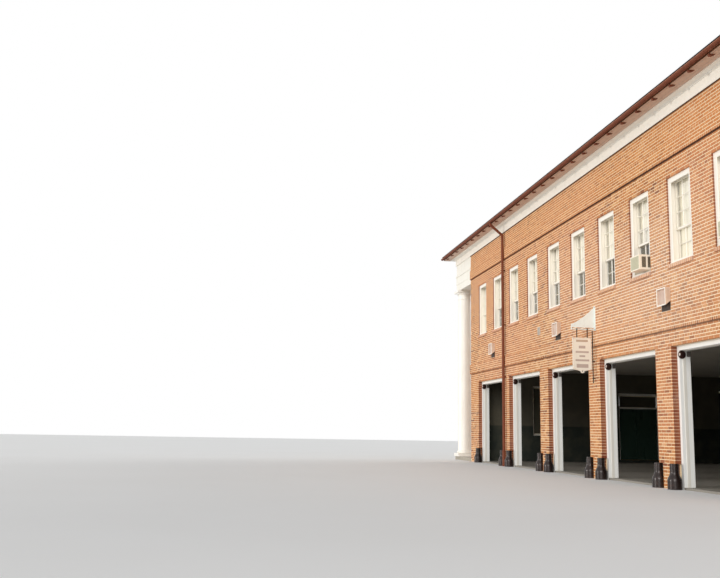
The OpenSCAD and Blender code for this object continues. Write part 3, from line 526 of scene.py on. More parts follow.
# Every window: its wall, its axis along the wall and its sill's height
END_AXES = (HALF_D - END_PITCH, HALF_D, HALF_D + END_PITCH)
FRONT_WINDOWS = [(FRONT, x + HALF_L, SILL_Z) for x in WINDOW_XS]
REAR_WINDOWS = [(REAR, HALF_L - x, SILL_Z) for x in WINDOW_XS]
REAR_WINDOWS += [(REAR, HALF_L - x, LOW_SILL_Z) for x in BAY_XS]
END_WINDOWS = [(NEAR, s, z) for s in END_AXES for z in (SILL_Z, LOW_SILL_Z)]
END_WINDOWS += [(PORTICO, s, SILL_Z) for s in END_AXES]
END_WINDOWS += [(PORTICO, s, LOW_SILL_Z) for s in END_AXES[::2]]
WINDOWS = FRONT_WINDOWS + REAR_WINDOWS + END_WINDOWS
WINDOW_GROUPS = (("front", FRONT_WINDOWS), ("rear", REAR_WINDOWS), ("end", END_WINDOWS))
COOLED = (FRONT_WINDOWS[7], FRONT_WINDOWS[9])


class Shape:
    """Collects closed solids in world places and makes one mesh of them."""

    def __init__(self):
        self.mesh = bmesh.new()

    def solid(self, rings):
        """A closed solid between rings of as many points, its ends capped."""
        loops = [[self.mesh.verts.new(p) for p in ring] for ring in rings]
        faces = [self.mesh.faces.new(loops[0]), self.mesh.faces.new(list(reversed(loops[-1])))]
        for low, high in zip(loops, loops[1:]):
            for i in range(len(low)):
                j = (i + 1) % len(low)
                faces.append(self.mesh.faces.new((low[j], low[i], high[i], high[j])))
        return faces

    def block(self, wall, s0, s1, d0, d1, z0, z1):
        return self.along(wall, [(d0, z0), (d1, z0), (d1, z1), (d0, z1)], s0, s1)

    def along(self, wall, outline, s0, s1):
        """Extrudes an outline of (d, z) points along the wall."""
        return self.solid([[wall.at(s, d, z) for d, z in outline] for s in (s0, s1)])

    def upright(self, wall, outline, z0, z1):
        """Extrudes an outline of (s, d) points upwards."""
        return self.solid([[wall.at(s, d, z) for s, d in outline] for z in (z0, z1)])

    def turned(self, centre, axis, profile, sides=16):
        """Turns a profile of (along the axis, radius) points round the axis."""
        axis = Vector(axis).normalized()
        first = axis.orthogonal().normalized()
        second = axis.cross(first)
        rings = []
        for along, radius in profile:
            middle = Vector(centre) + axis * along
            rings.append([
                middle + (first * math.cos(a) + second * math.sin(a)) * max(radius, 1e-4)
                for a in (2 * math.pi * i / sides for i in range(sides))
            ])
        return self.solid(rings)

    def bolt(self, place, axis, radius):
        """A six-sided bolt head with a bevelled top."""
        self.turned(place, axis, [(0, radius), (0.008, radius), (0.012, radius - 0.006)], 6)

    def data(self, name):
        """The finished mesh, its faces turned outwards."""
        bmesh.ops.recalc_face_normals(self.mesh, faces=self.mesh.faces)
        data = bpy.data.meshes.new(name)
        self.mesh.to_mesh(data)
        self.mesh.free()
        return data

    def object(self, name, material, body="building", slot=None, bevel=0.0, smooth=None):
        data = self.data(name)
        data.materials.append(material)
        made = placed(name, data)
        if bevel:
            edge = made.modifiers.new("Edges", "BEVEL")
            edge.width, edge.segments, edge.limit_method = bevel, 1, "ANGLE"
        if smooth:
            data.polygons.foreach_set("use_smooth", [True] * len(data.polygons))
            data.set_sharp_from_angle(angle=math.radians(smooth))
        return settle(made, body)


def placed(name, data):
    """A new object in the scene."""
    made = bpy.data.objects.new(name, data)
    bpy.context.scene.collection.objects.link(made)
    return made


def settle(made, body="building"):
    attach(made, body)
    return made


# Geometry Nodes
class Tree(Nodes):
    """A node tree that works on points, with the named inputs given."""

    def __init__(self, name, inputs):
        super().__init__(bpy.data.node_groups.new(name, "GeometryNodeTree"))
        for label, kind in (("Geometry", "Geometry"), *inputs.items()):
            self.tree.interface.new_socket(label, in_out="INPUT", socket_type="NodeSocket" + kind)
        self.tree.interface.new_socket("Geometry", in_out="OUTPUT", socket_type="NodeSocketGeometry")
        self.given = self.add("NodeGroupInput")

    def value(self, name):
        """A value that every point carries."""
        node = self.add("GeometryNodeInputNamedAttribute", data_type="FLOAT_VECTOR")
        node.inputs["Name"].default_value = name
        return node

    def end(self, last, output):
        """Makes the copies real and gives them their material."""
        real, finish = self.add("GeometryNodeRealizeInstances"), self.add("GeometryNodeSetMaterial")
        self.link(
            (last, output, real, "Geometry"),
            (real, "Geometry", finish, "Geometry"),
            (self.given, "Finish", finish, "Material"),
            (finish, "Geometry", self.add("NodeGroupOutput"), "Geometry"),
        )
        return self.tree


def block_tree():
    """Sets a block on every point, sized and turned by the point's own values, each with its tone."""
    tree = Tree("Blocks on points", {"Unevenness": "Float", "Seed": "Int", "Finish": "Material"})
    copies, move = tree.add("GeometryNodeInstanceOnPoints"), tree.add("GeometryNodeTranslateInstances")
    shift = tree.add("FunctionNodeRandomValue", data_type="FLOAT_VECTOR")
    shift.inputs["Min"].default_value = (-1, -1, -1)
    scaled = tree.add("ShaderNodeVectorMath", operation="SCALE")
    tone = tree.add("FunctionNodeRandomValue", data_type="FLOAT")
    keep = tree.add("GeometryNodeStoreNamedAttribute", data_type="FLOAT", domain="INSTANCE")
    keep.inputs["Name"].default_value = "tone"
    tree.link(
        (tree.given, "Geometry", copies, "Points"),
        (tree.add("GeometryNodeMeshCube"), "Mesh", copies, "Instance"),
        (tree.value("size"), "Attribute", copies, "Scale"),
        (tree.value("turn"), "Attribute", copies, "Rotation"),
        (tree.given, "Seed", shift, "Seed"),
        (shift, "Value", scaled, 0),
        (tree.given, "Unevenness", scaled, "Scale"),
        (copies, "Instances", move, "Instances"),
        (scaled, "Vector", move, "Translation"),
        (tree.given, "Seed", tone, "Seed"),
        (move, "Instances", keep, "Geometry"),
        (tone, 1, keep, "Value"),
    )
    return tree.end(keep, "Geometry")


def copy_tree():
    """Sets a copy of a small piece on every point, turned by the point's own value."""
    tree = Tree("Copies on points", {"Piece": "Object", "Size": "Float", "Finish": "Material"})
    piece, copies = tree.add("GeometryNodeObjectInfo"), tree.add("GeometryNodeInstanceOnPoints")
    tree.link(
        (tree.given, "Piece", piece, "Object"),
        (tree.given, "Geometry", copies, "Points"),
        (piece, "Geometry", copies, "Instance"),
        (tree.value("turn"), "Attribute", copies, "Rotation"),
        (tree.given, "Size", copies, "Scale"),
    )
    return tree.end(copies, "Instances")


def grown(name, tree, points, slot=None, **given):
    """Runs a tree on points, each (place, size, turn), and keeps the result as a plain mesh."""
    data = bpy.data.meshes.new(name + "_points")
    data.from_pydata([p[0] for p in points], [], [])
    for label, column in (("size", 1), ("turn", 2)):
        values = [c for p in points for c in p[column]]
        data.attributes.new(label, "FLOAT_VECTOR", "POINT").data.foreach_set("vector", values)
    holder = placed(name + "_points", data)
    modifier = holder.modifiers.new("Grow", "NODES")
    modifier.node_group = tree
    for item in tree.interface.items_tree:
        if item.in_out == "INPUT" and item.name in given:
            modifier[item.identifier] = given[item.name]
    seen = bpy.context.evaluated_depsgraph_get()
    result = bpy.data.meshes.new_from_object(
        holder.evaluated_get(seen), preserve_all_data_layers=True, depsgraph=seen
    )
    holder.modifiers.remove(modifier)
    bpy.data.objects.remove(holder)
    result.name = name
    return settle(placed(name, result))


# Bricks
def openings_of(wall):
    """What interrupts a wall's courses: (s0, s1, z0, z1, depth of the reveal)."""
    found = []
    for owner, axis, sill in WINDOWS:
        if owner is wall:
            s0, s1 = axis - WINDOW_W / 2, axis + WINDOW_W / 2
            found.append((s0, s1, sill - SILL_H, sill, 0.0))
            found.append((s0, s1, sill, sill + WINDOW_H, FRAME_BACK))
    if wall is FRONT:
        for x in BAY_XS:
            middle = x + HALF_L
            found.append((middle - BAY_W / 2, middle + BAY_W / 2, -1, BAY_H, BAY_REVEAL))
            for side in (-1, 1):
                edge = middle + side * BAY_W / 2
                found.append((*sorted((edge, edge + side * NOTCH_W)), -1, NOTCH_H, NOTCH_W))
    if wall is PORTICO:
        s0, s1 = HALF_D - DOORWAY_W / 2, HALF_D + DOORWAY_W / 2
        found.append((s0, s1, -1, STEP_H + DOORWAY_H, FRAME_BACK))
    return found


def free_spans(start, end, z0, z1, openings):
    """The parts of a course that no opening takes, each with the reveals at its two ends."""
    spans = [(start, end, 0.0, 0.0)]
    for s0, s1, low, high, depth in openings:
        if high <= z0 + 0.004 or low >= z1 - 0.004:
            continue
        cut = []
        for a, b, left, right in spans:
            if s1 <= a or s0 >= b:
                cut.append((a, b, left, right))
                continue
            if s0 > a:
                cut.append((a, s0, left, depth))
            if s1 < b:
                cut.append((s1, b, depth, right))
        spans = cut
    return [s for s in spans if s[1] - s[0] > SLIVER]


def course_parts(start, end, z0, z1, openings):
    """The spans of a course at its full height, then the ones beside an opening's edge inside it."""
    parts = [(*span, z0, z1) for span in free_spans(start, end, z0, z1, openings)]
    for s0, s1, low, high, _ in openings:
        for under, over in ((z0, low), (high, z1)):
            if 0.026 < over - under < z1 - z0 - 0.012:
                spans = free_spans(max(s0, start), min(s1, end), under, over, openings)
                parts += [(*span, under, over) for span in spans]
    return parts


def course_ends(wall, number, z, z_top, belt):
    """Where a course starts and ends: bonded at the corners, and cut to the roof on the end walls."""
    even = number % 2 == 0
    start = -belt + (0 if even else CORNER_STEP)
    end = wall.length + belt - (CORNER_STEP if even else 0)
    if z > BOND_TOP and wall is FRONT:
        start = 0.0
    if z > BOND_TOP and wall is REAR:
        end = wall.length
    if wall in (NEAR, PORTICO):
        reach = EDGE_Y - (z_top + ROOF_T / math.cos(PITCH) - EDGE_Z) / math.tan(PITCH)
        if reach < HALF_D:
            start, end = max(start, HALF_D - reach), min(end, HALF_D + reach)
    return start, end


def bonded(a, b, pitch, shift, shortest):
    """Where the pieces of a row meet, with none shorter than shortest."""
    edges = [a]
    number = math.floor((a - shift) / pitch) + 1
    while shift + number * pitch < b - shortest:
        if shift + number * pitch > a + shortest:
            edges.append(shift + number * pitch)
        number += 1
    return edges + [b]


def end_gap(reveal, off, stepped, split, settings):
    """How far a brick stops short of its span's end; off is how far that lies from the course's end."""
    if split or (abs(off) < 0.001 and stepped):
        return settings.joint / 2
    if reveal:
        return -0.003
    return 0 if off > 0.01 else -settings.proud


def lay_bricks(wall, settings, bottom, top):
    """The wall's bricks as points: common bond, with belts whose lowest course stands on edge."""
    openings = openings_of(wall)
    bricks = []
    joint, proud = settings.joint, settings.proud
    belts = [LOWER_BELT] + ([UPPER_BELT] if wall is not PORTICO else [])
    for number in range(int(top / settings.course) + 2):
        z_low = max((number - 0.5) * settings.course, bottom)
        z_high = min((number + 0.5) * settings.course, top)
        if z_high - z_low < SLIVER:
            continue
        belt = next((BELT_OUT for b in belts if b - 0.01 < z_low < b + BELT_H - 0.01), 0.0)
        on_edge = any(abs(z_low - b) < 0.03 for b in belts)
        start, end = course_ends(wall, number, z_low, z_high, belt)
        width = settings.header if number % settings.bond == 3 else settings.stretcher
        if on_edge:
            width = ON_EDGE_W
        shift = 0.0 if number % 2 == 0 else settings.header + joint
        for a, b, left, right, z0, z1 in course_parts(start, end, z_low, z_high, openings):
            split = z1 - z0 < z_high - z_low - 0.01
            low_gap = end_gap(left, a - start, start > 0.05, split, settings)
            high_gap = end_gap(right, end - b, end < wall.length - 0.05, split, settings)
            edges = bonded(a, b, width + joint, shift, SHORT_BRICK)
            last = len(edges) - 2
            for i, (s0, s1) in enumerate(zip(edges, edges[1:])):
                reveal = max(left if i == 0 else 0.0, right if i == last else 0.0)
                inner = max(0.06, reveal - LAP)
                if (i == 0 and a < 0.01) or (i == last and b > wall.length - 0.01):
                    inner = CORNER_DEPTH
                low_s = s0 + (joint / 2 if i else low_gap)
                high_s = s1 - (joint / 2 if i < last else high_gap)
                low_z, high_z = z0 + joint / 2, z1 - joint / 2
                over = any(abs(z0 - o[3]) < 0.008 and o[0] < s1 and o[1] > s0 for o in openings)
                if over or (belt and on_edge):
                    low_z = z0 - LAP
                middle = (belt + proud - inner + belt) / 2
                place = wall.at((low_s + high_s) / 2, middle, (low_z + high_z) / 2)
                size = wall.size(high_s - low_s, proud + inner, high_z - low_z)
                bricks.append((place, size, (0, 0, 0)))
    return bricks


def lay_sills(windows, settings):
    """Rowlock sills: bricks on edge with a sloping top."""
    sills = Shape()
    count = 12
    profile = ((-0.05, 0.002), (0.0, 0.002), (0.054, -0.019), (0.054, -0.103), (-0.05, -0.103))
    pitch = WINDOW_W / count
    for wall, axis, sill in windows:
        for i in range(count):
            s0 = axis - WINDOW_W / 2 + i * pitch + settings.joint / 2
            sills.along(wall, [(d, sill + z) for d, z in profile], s0, s0 + pitch - settings.joint)
    return sills


class FIRESTATION_OT_bricks(bpy.types.Operator):
    """Lays the bricks of all four walls on their mortar"""

    bl_idname = "firestation.bricks"
    bl_label = "Bricks"

    def execute(self, context):
        settings = context.scene.station_bricks
        finish = brick_finish("brick", settings)
        washed = brick_finish("sill_brick", settings, 0.45)
        mortar = wall_finish(settings)
        dress(mortar, "front_piers", "front_wall", "rear_wall", "near_end_wall", "portico_end_wall")
        tree = block_tree()
        dice = random.Random(settings.seed)
        parts = (
            ("front_bricks", FRONT, 0.0, FRIEZE_Z + 0.01),
            ("rear_bricks", REAR, 0.0, FRIEZE_Z + 0.01),
            ("near_end_bricks", NEAR, 0.0, RIDGE_Z - 0.2),
            ("portico_end_bricks", PORTICO, STEP_H, PORTICO_TOP),
        )
        for i, (name, wall, low, high) in enumerate(parts):
            points = lay_bricks(wall, settings, low, high)
            given = {"Unevenness": settings.uneven, "Seed": settings.seed + i, "Finish": finish}
            grown(name, tree, points, slot="brick", **given)
        for name, windows in WINDOW_GROUPS:
            name += "_sills"
            made = lay_sills(windows, settings).object(name, washed, slot="brick", bevel=0.003)
            tones = made.data.attributes.new("tone", "FLOAT", "FACE")
            tones.data.foreach_set("value", [dice.random() for _ in made.data.polygons])
        return {"FINISHED"}


def dress(material, *nodes):
    """Gives frame nodes their finish."""
    for node in nodes:
        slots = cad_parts[node].data.materials
        slots.clear()
        slots.append(material)


# Roof
class FIRESTATION_OT_roof(bpy.types.Operator):
    """Lays the slates on both slopes"""

    bl_idname = "firestation.roof"
    bl_label = "Roof"

    def execute(self, context):
        settings = context.scene.station_roof
        finish = slate_finish(settings)
        flashing = metal_finish("edge_flashing", tint(140, 80, 48), 0.8, 0.55, 0.25, tint(92, 46, 26))
        dress(flashing, "front_roof", "rear_roof")
        dress(metal_finish("lead", tint(120, 124, 128), 0.25, 0.42, 0.6, tint(160, 160, 150)), "ridge_cap")
        slope = (EDGE_Y - 0.2) / math.cos(PITCH)
        tilt = math.atan(SLATE_TILT / settings.slate_l)
        lift = SLATE_LIFT + settings.slate_t / 2
        x0, x1 = ROOF_LOW.x - 0.05, ROOF_HIGH.x + 0.05
        tree = block_tree()
        for i, side in enumerate((-1, 1)):
            slates = []
            rows = int((slope + 0.03) / settings.exposure)
            for row in range(rows + 1):
                tail = row * settings.exposure - 0.012
                length = min(settings.slate_l, slope - tail)
                if length < SHORT_SLATE:
                    continue
                shift = x0 + (0.0 if row % 2 else settings.slate_w / 2)
                edges = bonded(x0, x1, settings.slate_w, shift, SHORT_SLATE)
                along = tail + length / 2
                y = EDGE_Y - along * math.cos(PITCH) + lift * math.sin(PITCH)
                z = EDGE_Z + along * math.sin(PITCH) + lift * math.cos(PITCH)
                turn = (PITCH - tilt, 0, 0) if side < 0 else (PITCH - tilt, 0, math.pi)
                for a, b in zip(edges, edges[1:]):
                    place, size = ((a + b) / 2, side * y, z), (b - a - SLATE_GAP, length, settings.slate_t)
                    slates.append((place, size, turn))
            name = "front_slates" if side < 0 else "rear_slates"
            given = {"Unevenness": SLATE_UNEVEN, "Seed": settings.seed + i, "Finish": finish}
            grown(name, tree, slates, slot="slate", **given)
        return {"FINISHED"}


# Windows
def bar_outline(middle, width, front, back):
    """Points (across, out) of a bar whose front edges are bevelled."""
    half = width / 2
    edge = ((half, back), (half, front - 0.011), (half * 0.35, front))
    return [(middle - a, d) for a, d in edge] + [(middle + a, d) for a, d in reversed(edge)]


def glazing_bars(shape, wall, axis, z0, z1, rows, face, settings):
    """Two uprights and the level bars of one sash's panes."""
    half = WINDOW_W / 2 - FRAME_W - SASH_W + 0.002
    front, back = face - 0.003, face - 0.003 - settings.bar_d
    for share in (-1 / 3, 1 / 3):
        outline = bar_outline(axis + share * half, settings.bar_w, front, back)
        shape.upright(wall, outline, z0 - 0.002, z1 + 0.002)
    for row in range(1, rows):
        outline = bar_outline(z0 + (z1 - z0) * row / rows, settings.bar_w, front, back)
        shape.along(wall, [(d, z) for z, d in outline], axis - half, axis + half)


def window_trim(shape, wall, axis, sill):
    """The wide flat casing round a frame, and the sloping wooden sill inside the brick one."""
    half, top = WINDOW_W / 2, sill + WINDOW_H
    out, inner, cut = -FRAME_BACK + 0.014, -FRAME_BACK - 0.004, half - CASING_W
    for side in (-1, 1):
        a, b = axis + side * half, axis + side * cut
        outline = [(a, inner), (a, out), (b + side * 0.008, out), (b, out - 0.008), (b, inner)]
        beside = side > 0 and (wall, axis, sill) in COOLED
        foot = sill + (FRAME_W + COOLER_H + 0.006 if beside else 0.03)
        shape.upright(wall, outline, foot, top - CASING_W)
    low = top - CASING_W
    head = [(inner, top), (out, top), (out, low + 0.008), (out - 0.008, low), (inner, low)]
    shape.along(wall, head, axis - half, axis + half)
    shelf = [(-0.1, FRAME_W + 0.004), (0.028, 0.03), (0.028, 0.002), (-0.1, 0.002)]
    slope = [(d - FRAME_BACK, sill + z) for d, z in shelf]
    shape.along(wall, slope, axis - half + 0.001, axis + half - 0.001)


# How far each front window's shade comes down, as a share of its daylight, from the portico on
FRONT_SHADES = (1.0, 0.62, 0.58, 0.58, 0.58, 0.58, 0.6, 0.77, 1.0, 1.0)


class FIRESTATION_OT_windows(bpy.types.Operator):
    """Fits glazing bars, casings, locks and shades into the window frames"""

    bl_idname = "firestation.windows"
    bl_label = "Windows"

    def execute(self, context):
        settings = context.scene.station_joinery
        paint = paint_finish("window_paint", settings.paint, 0.35, 0.42)
        glass = glass_finish()
        brass = metal_finish("lock_brass", tint(150, 118, 62), 0.3, 0.35, 0.8)
        upper, lower = -UPPER_BACK, -UPPER_BACK - SASH_T
        catch = [(0, 0.018), (0.006, 0.018), (0.012, 0.008)]
        for group, windows in WINDOW_GROUPS:
            dress(paint, group + "_window_frames", group + "_sashes")
            dress(glass, group + "_glass")
            bars, trim, locks = Shape(), Shape(), Shape()
            for wall, axis, sill in windows:
                low = sill + FRAME_W
                meet, top = low + LOWER_SASH, sill + WINDOW_H - FRAME_W
                lift = COOLER_H if (wall, axis, sill) in COOLED else 0.0
                glazing_bars(bars, wall, axis, meet, top - SASH_W, 3, upper, settings)
                rise = low + SASH_W + lift
                glazing_bars(bars, wall, axis, rise, meet - SASH_W + lift, 2, lower, settings)
                window_trim(trim, wall, axis, sill)
                if not lift:
                    locks.turned(wall.at(axis, upper - 0.055, meet), (0, 0, 1), catch, 10)
                    ends = (axis - 0.008, axis + 0.03, upper - 0.06, upper - 0.05)
                    locks.block(wall, *ends, meet + 0.006, meet + 0.014)
            bars.object(group + "_glazing_bars", paint, slot="white_paint")
            trim.object(group + "_window_trim", paint, slot="white_paint", bevel=0.002)
            locks.object(group + "_sash_locks", brass)
        self.hang_shades(settings)
        return {"FINISHED"}

    def hang_shades(self, settings):
        """Roller shades: pale ones upstairs, each drawn as it is, and dark ones in the engine hall."""
        pale = cloth_finish("shade_cloth", settings.shade)
        dark = cloth_finish("hall_shade_cloth", tint(74, 70, 56))
        dice = random.Random(5)
        rollers, rails = Shape(), Shape()
        for i, (wall, axis, sill) in enumerate(WINDOWS):
            clear = WINDOW_H - 2 * FRAME_W - 0.05
            if (wall, axis, sill) in COOLED:
                clear -= COOLER_H + 0.03
            share, cloth = 1.0, dark
            if sill > LOWER_BELT:
                share = FRONT_SHADES[i] if wall is FRONT else dice.choice((0.35, 0.5, 0.6, 1.0))
                cloth = pale
            width, top = WINDOW_W - 2 * FRAME_W - 0.04, sill + WINDOW_H - FRAME_W - 0.03
            hang(i, wall, axis, top, (width, clear * share), -SHADE_BACK, cloth, rollers, rails)
        size, back = (1.66, 0.46), -SHADE_BACK + 0.04
        hang(len(WINDOWS), PORTICO, HALF_D, STEP_H + TRANSOM_TOP, size, back, dark, rollers, rails)
        paint = paint_finish("shade_rail_paint", tint(226, 214, 186), 0.2, 0.5)
        rollers.object("shade_rollers", paint, smooth=40)
        rails.object("shade_rails", paint, bevel=0.002)


def hang(number, wall, axis, top, size, back, cloth, rollers, rails):
    """One roller shade, slightly bowed, with its roller above and its rail below."""
    width, drop = size
    rows = 12
    places = [
        wall.at(axis + side * width / 2, back - 0.004 * math.sin(r / rows * math.pi), top - drop * r / rows)
        for r in range(rows + 1)
        for side in (-1, 1)
    ]
    shade = bpy.data.meshes.new("shade_%02d" % number)
    shade.from_pydata(places, [], [(2 * r, 2 * r + 1, 2 * r + 3, 2 * r + 2) for r in range(rows)])
    cover = shade.uv_layers.new(name="UVMap")
    for loop in shade.loops:
        r, side = divmod(loop.vertex_index, 2)
        cover.data[loop.index].uv = (side * width, drop * r / rows)
    shade.materials.append(cloth)
    hung = placed("window_shade_%02d" % number, shade)
    settle(hung)
    s0, s1, end = axis - width / 2, axis + width / 2, top - drop
    axle = wall.at(s0 - 0.01, back - 0.018, top + 0.004)
    rollers.turned(axle, wall.along, [(0, 0.016), (width + 0.02, 0.016)], 12)
    rails.block(wall, s0 - 0.004, s1 + 0.004, back - 0.008, back + 0.006, end - 0.022, end + 0.002)


# Cornice, gutters and downspouts
class FIRESTATION_OT_cornice(bpy.types.Operator):
    """Finishes the cornices and hangs the gutters"""

    bl_idname = "firestation.cornice"
    bl_label = "Cornice and gutters"

    def execute(self, context):
        joinery, fittings = context.scene.station_joinery, context.scene.station_fittings
        white = paint_finish("cornice_paint", joinery.paint, 0.22)
        dress(white, "portico_cornice", "raking_cornices")
        # From just under the soffit's height up, the eaves paint is brown, over the fascia behind the gutter.
        fascia_brown = (FRIEZE_Z + SOFFIT_UP - 0.002, tint(132, 88, 58))
        brown_topped = paint_finish("eaves_paint", joinery.paint, 0.22, above=fascia_brown)
        dress(brown_topped, "front_cornice", "rear_cornice")
        rust = metal_finish("gutter_rust", fittings.rust, 0.9, 0.75, 0.0, tint(72, 30, 12))
        dress(rust, "front_gutter", "rear_gutter", "front_downspout", "rear_downspout")
        self.soffits(joinery)
        self.hangers(context.scene.station_roof, rust)
        return {"FINISHED"}

    def soffits(self, joinery):
        """Thin boards over the soffits, and a dark drip strip under the frieze that also paints the shadow
        line between frieze and brick.
        """
        boards = paint_finish("soffit_paint", joinery.soffit, 0.5, 0.6, ("Y", 0.15))
        # The drip strip's dark colour also paints the shadow gap under the frieze.
        shadow_drip = dark_finish("frieze_drip", tint(84, 66, 54), 0.7)
        z = FRIEZE_Z + SOFFIT_UP
        soffit, edge = Shape(), Shape()
        for wall, before, after in ((FRONT, PORTICO_D, 0.0), (REAR, 0.0, PORTICO_D)):
            s0, s1 = -before - EAVE_OUT, wall.length + after + EAVE_OUT
            soffit.block(wall, s0, s1, 0.203, 0.493, z - 0.003, z + 0.002)
            s0, s1 = (0.0, wall.length + 0.04) if wall is FRONT else (-0.04, wall.length)
            edge.block(wall, s0, s1, 0.002, 0.044, FRIEZE_Z - 0.012, FRIEZE_Z - 0.001)
        soffit.object("soffit_boards", boards, slot="white_paint")
        edge.object("frieze_drips", shadow_drip)

    def hangers(self, roof, rust):
        """One bent strap, copied along both gutters, and a rolled bead on each gutter's outer lip, painted
        paler than the gutter as the highlight along its rim.
        """
        strap = Shape()
        r = GUTTER_R
        ring = [(math.cos(a), math.sin(a)) for a in (math.pi + math.pi * i / 8 for i in range(9))]
        outer = [(r * c, r * s) for c, s in ring]
        inner = [((r - 0.004) * c, (r - 0.004) * s) for c, s in reversed(ring)]
        local = Wall((0, 0, 0), (1, 0, 0), (0, -1, 0))
        strap.along(local, outer + inner, -0.013, 0.013)
        strap.block(local, -0.013, 0.013, -0.16, -r + 0.004, 0.0, 0.004)
        strap.block(local, -0.013, 0.013, -r, r, 0.001, 0.005)
        foot = [(-r - 0.002, -0.073), (-0.19, -0.073), (-0.19, -0.084)]
        foot += [(-0.14, -0.104), (-r - 0.002, -0.122), (-r + 0.02, -0.064)]
        strap.along(local, foot, -0.034, 0.034)
        source = bpy.data.objects.new("hanger", strap.data("hanger"))
        middle, gap = (GUTTER_LOW.y + GUTTER_HIGH.y) / 2, roof.hanger_gap
        low = math.ceil((GUTTER_LOW.x + 0.1 - FIRST_HANGER) / gap)
        high = math.floor((GUTTER_HIGH.x - 0.1 - FIRST_HANGER) / gap)
        points = [
            ((FIRST_HANGER + i * gap, side * middle, GUTTER_HIGH.z), (1, 1, 1), (0, 0, turn))
            for side, turn in ((1, 0.0), (-1, math.pi))
            for i in range(low, high + 1)
        ]
        grown("gutter_hangers", copy_tree(), points, slot="rust_paint", Piece=source, Size=1.0, Finish=rust)
        bpy.data.objects.remove(source)
        beads = Shape()
        length = GUTTER_HIGH.x - GUTTER_LOW.x - 0.004
        for side in (-1, 1):
            start = Vector((GUTTER_LOW.x + 0.002, -side * GUTTER_LOW.y, GUTTER_HIGH.z))
            beads.turned(start, (1, 0, 0), [(0, 0.007), (length, 0.007)], 8)
        # Painted highlight: the bead is a paler rust than the gutter, with real rust spots over it.
        bead_highlight = metal_finish("bead_rust", tint(176, 118, 92), 0.8, 0.6, 0.0, tint(110, 52, 30))
        beads.object("gutter_beads", bead_highlight, slot="rust_paint", smooth=50)


# Portico
def frame_strips(s0, s1, z0, z1, width):
    """The four strips of a rectangular moulding: two level ones, then two upright ones."""
    return (
        (s0, s1, z0, z0 + width),
        (s0, s1, z1 - width, z1),
        (s0, s0 + width, z0, z1),
        (s1 - width, s1, z0, z1),
    )


class FIRESTATION_OT_portico(bpy.types.Operator):
    """Finishes columns, beams, pediment and entrance"""

    bl_idname = "firestation.portico"
    bl_label = "Portico"

    def execute(self, context):
        white = context.scene.station_joinery.paint
        smooth = paint_finish("column_paint", tint(247, 243, 234), 0.25, 0.4)
        dress(smooth, "columns", "entrance_frame")
        dress(paint_finish("entablature_paint", tint(242, 238, 226), 0.25, 0.42), "entablature")
        dress(paint_finish("pediment_boards", white, 0.4, 0.5, ("Z", 0.14)), "pediment")
        ceiling = paint_finish("ceiling_boards", tint(206, 216, 214), 0.3, 0.5, ("Y", 0.09))
        dress(ceiling, "portico_ceiling")
        dress(stone_finish("portico_stone", tint(176, 168, 154), (0.9, 1.2)), "portico_floor")
        door = paint_finish("door_paint", tint(44, 66, 56), 0.25, 0.32)
        dress(door, "entrance_doors")
        brass = metal_finish("door_brass", tint(176, 142, 78), 0.2, 0.28, 0.9)
        fittings, moulds, bars = Shape(), Shape(), Shape()
        face = -UPPER_BACK
        knob = [(-0.004, 0.03), (0.006, 0.03), (0.012, 0.014), (0.04, 0.012)]
        knob += [(0.045, 0.026), (0.062, 0.031), (0.074, 0.02)]
        for side in (-1, 1):
            lock = PORTICO.at(HALF_D + side * 0.045, face, STEP_H + 1.02)
            fittings.turned(lock, PORTICO.out, knob, 20)
            for z in (0.22, 1.1, 1.95):
                hinge = PORTICO.at(HALF_D + side * 0.853, face + 0.004, STEP_H + z - 0.05)
                fittings.turned(hinge, (0, 0, 1), [(0, 0.011), (0.1, 0.011)], 10)
            s0, s1 = sorted((HALF_D + side * 0.1165, HALF_D + side * 0.74))
            for low, high in ((0.115, 0.78), (0.895, 1.69), (1.805, 2.035)):
                for a, b, c, d in frame_strips(s0, s1, STEP_H + low, STEP_H + high, 0.018):
                    moulds.block(PORTICO, a, b, face - 0.016, face - 0.004, c, d)
        for share in (-0.5, 0.0, 0.5):
            outline = bar_outline(HALF_D + share * DOORS_HALF_W, 0.024, face + 0.012, face - 0.02)
            bars.upright(PORTICO, outline, STEP_H + 2.21, STEP_H + 2.706)
        ends = (HALF_D - DOORS_HALF_W, HALF_D + DOORS_HALF_W, face - 0.06, face + 0.03)
        fittings.block(PORTICO, *ends, STEP_H, STEP_H + 0.012)
        fittings.object("door_fittings", brass, smooth=35)
        moulds.object("door_mouldings", door, bevel=0.004)
        bars.object("transom_bars", smooth, slot="white_paint")
        return {"FINISHED"}


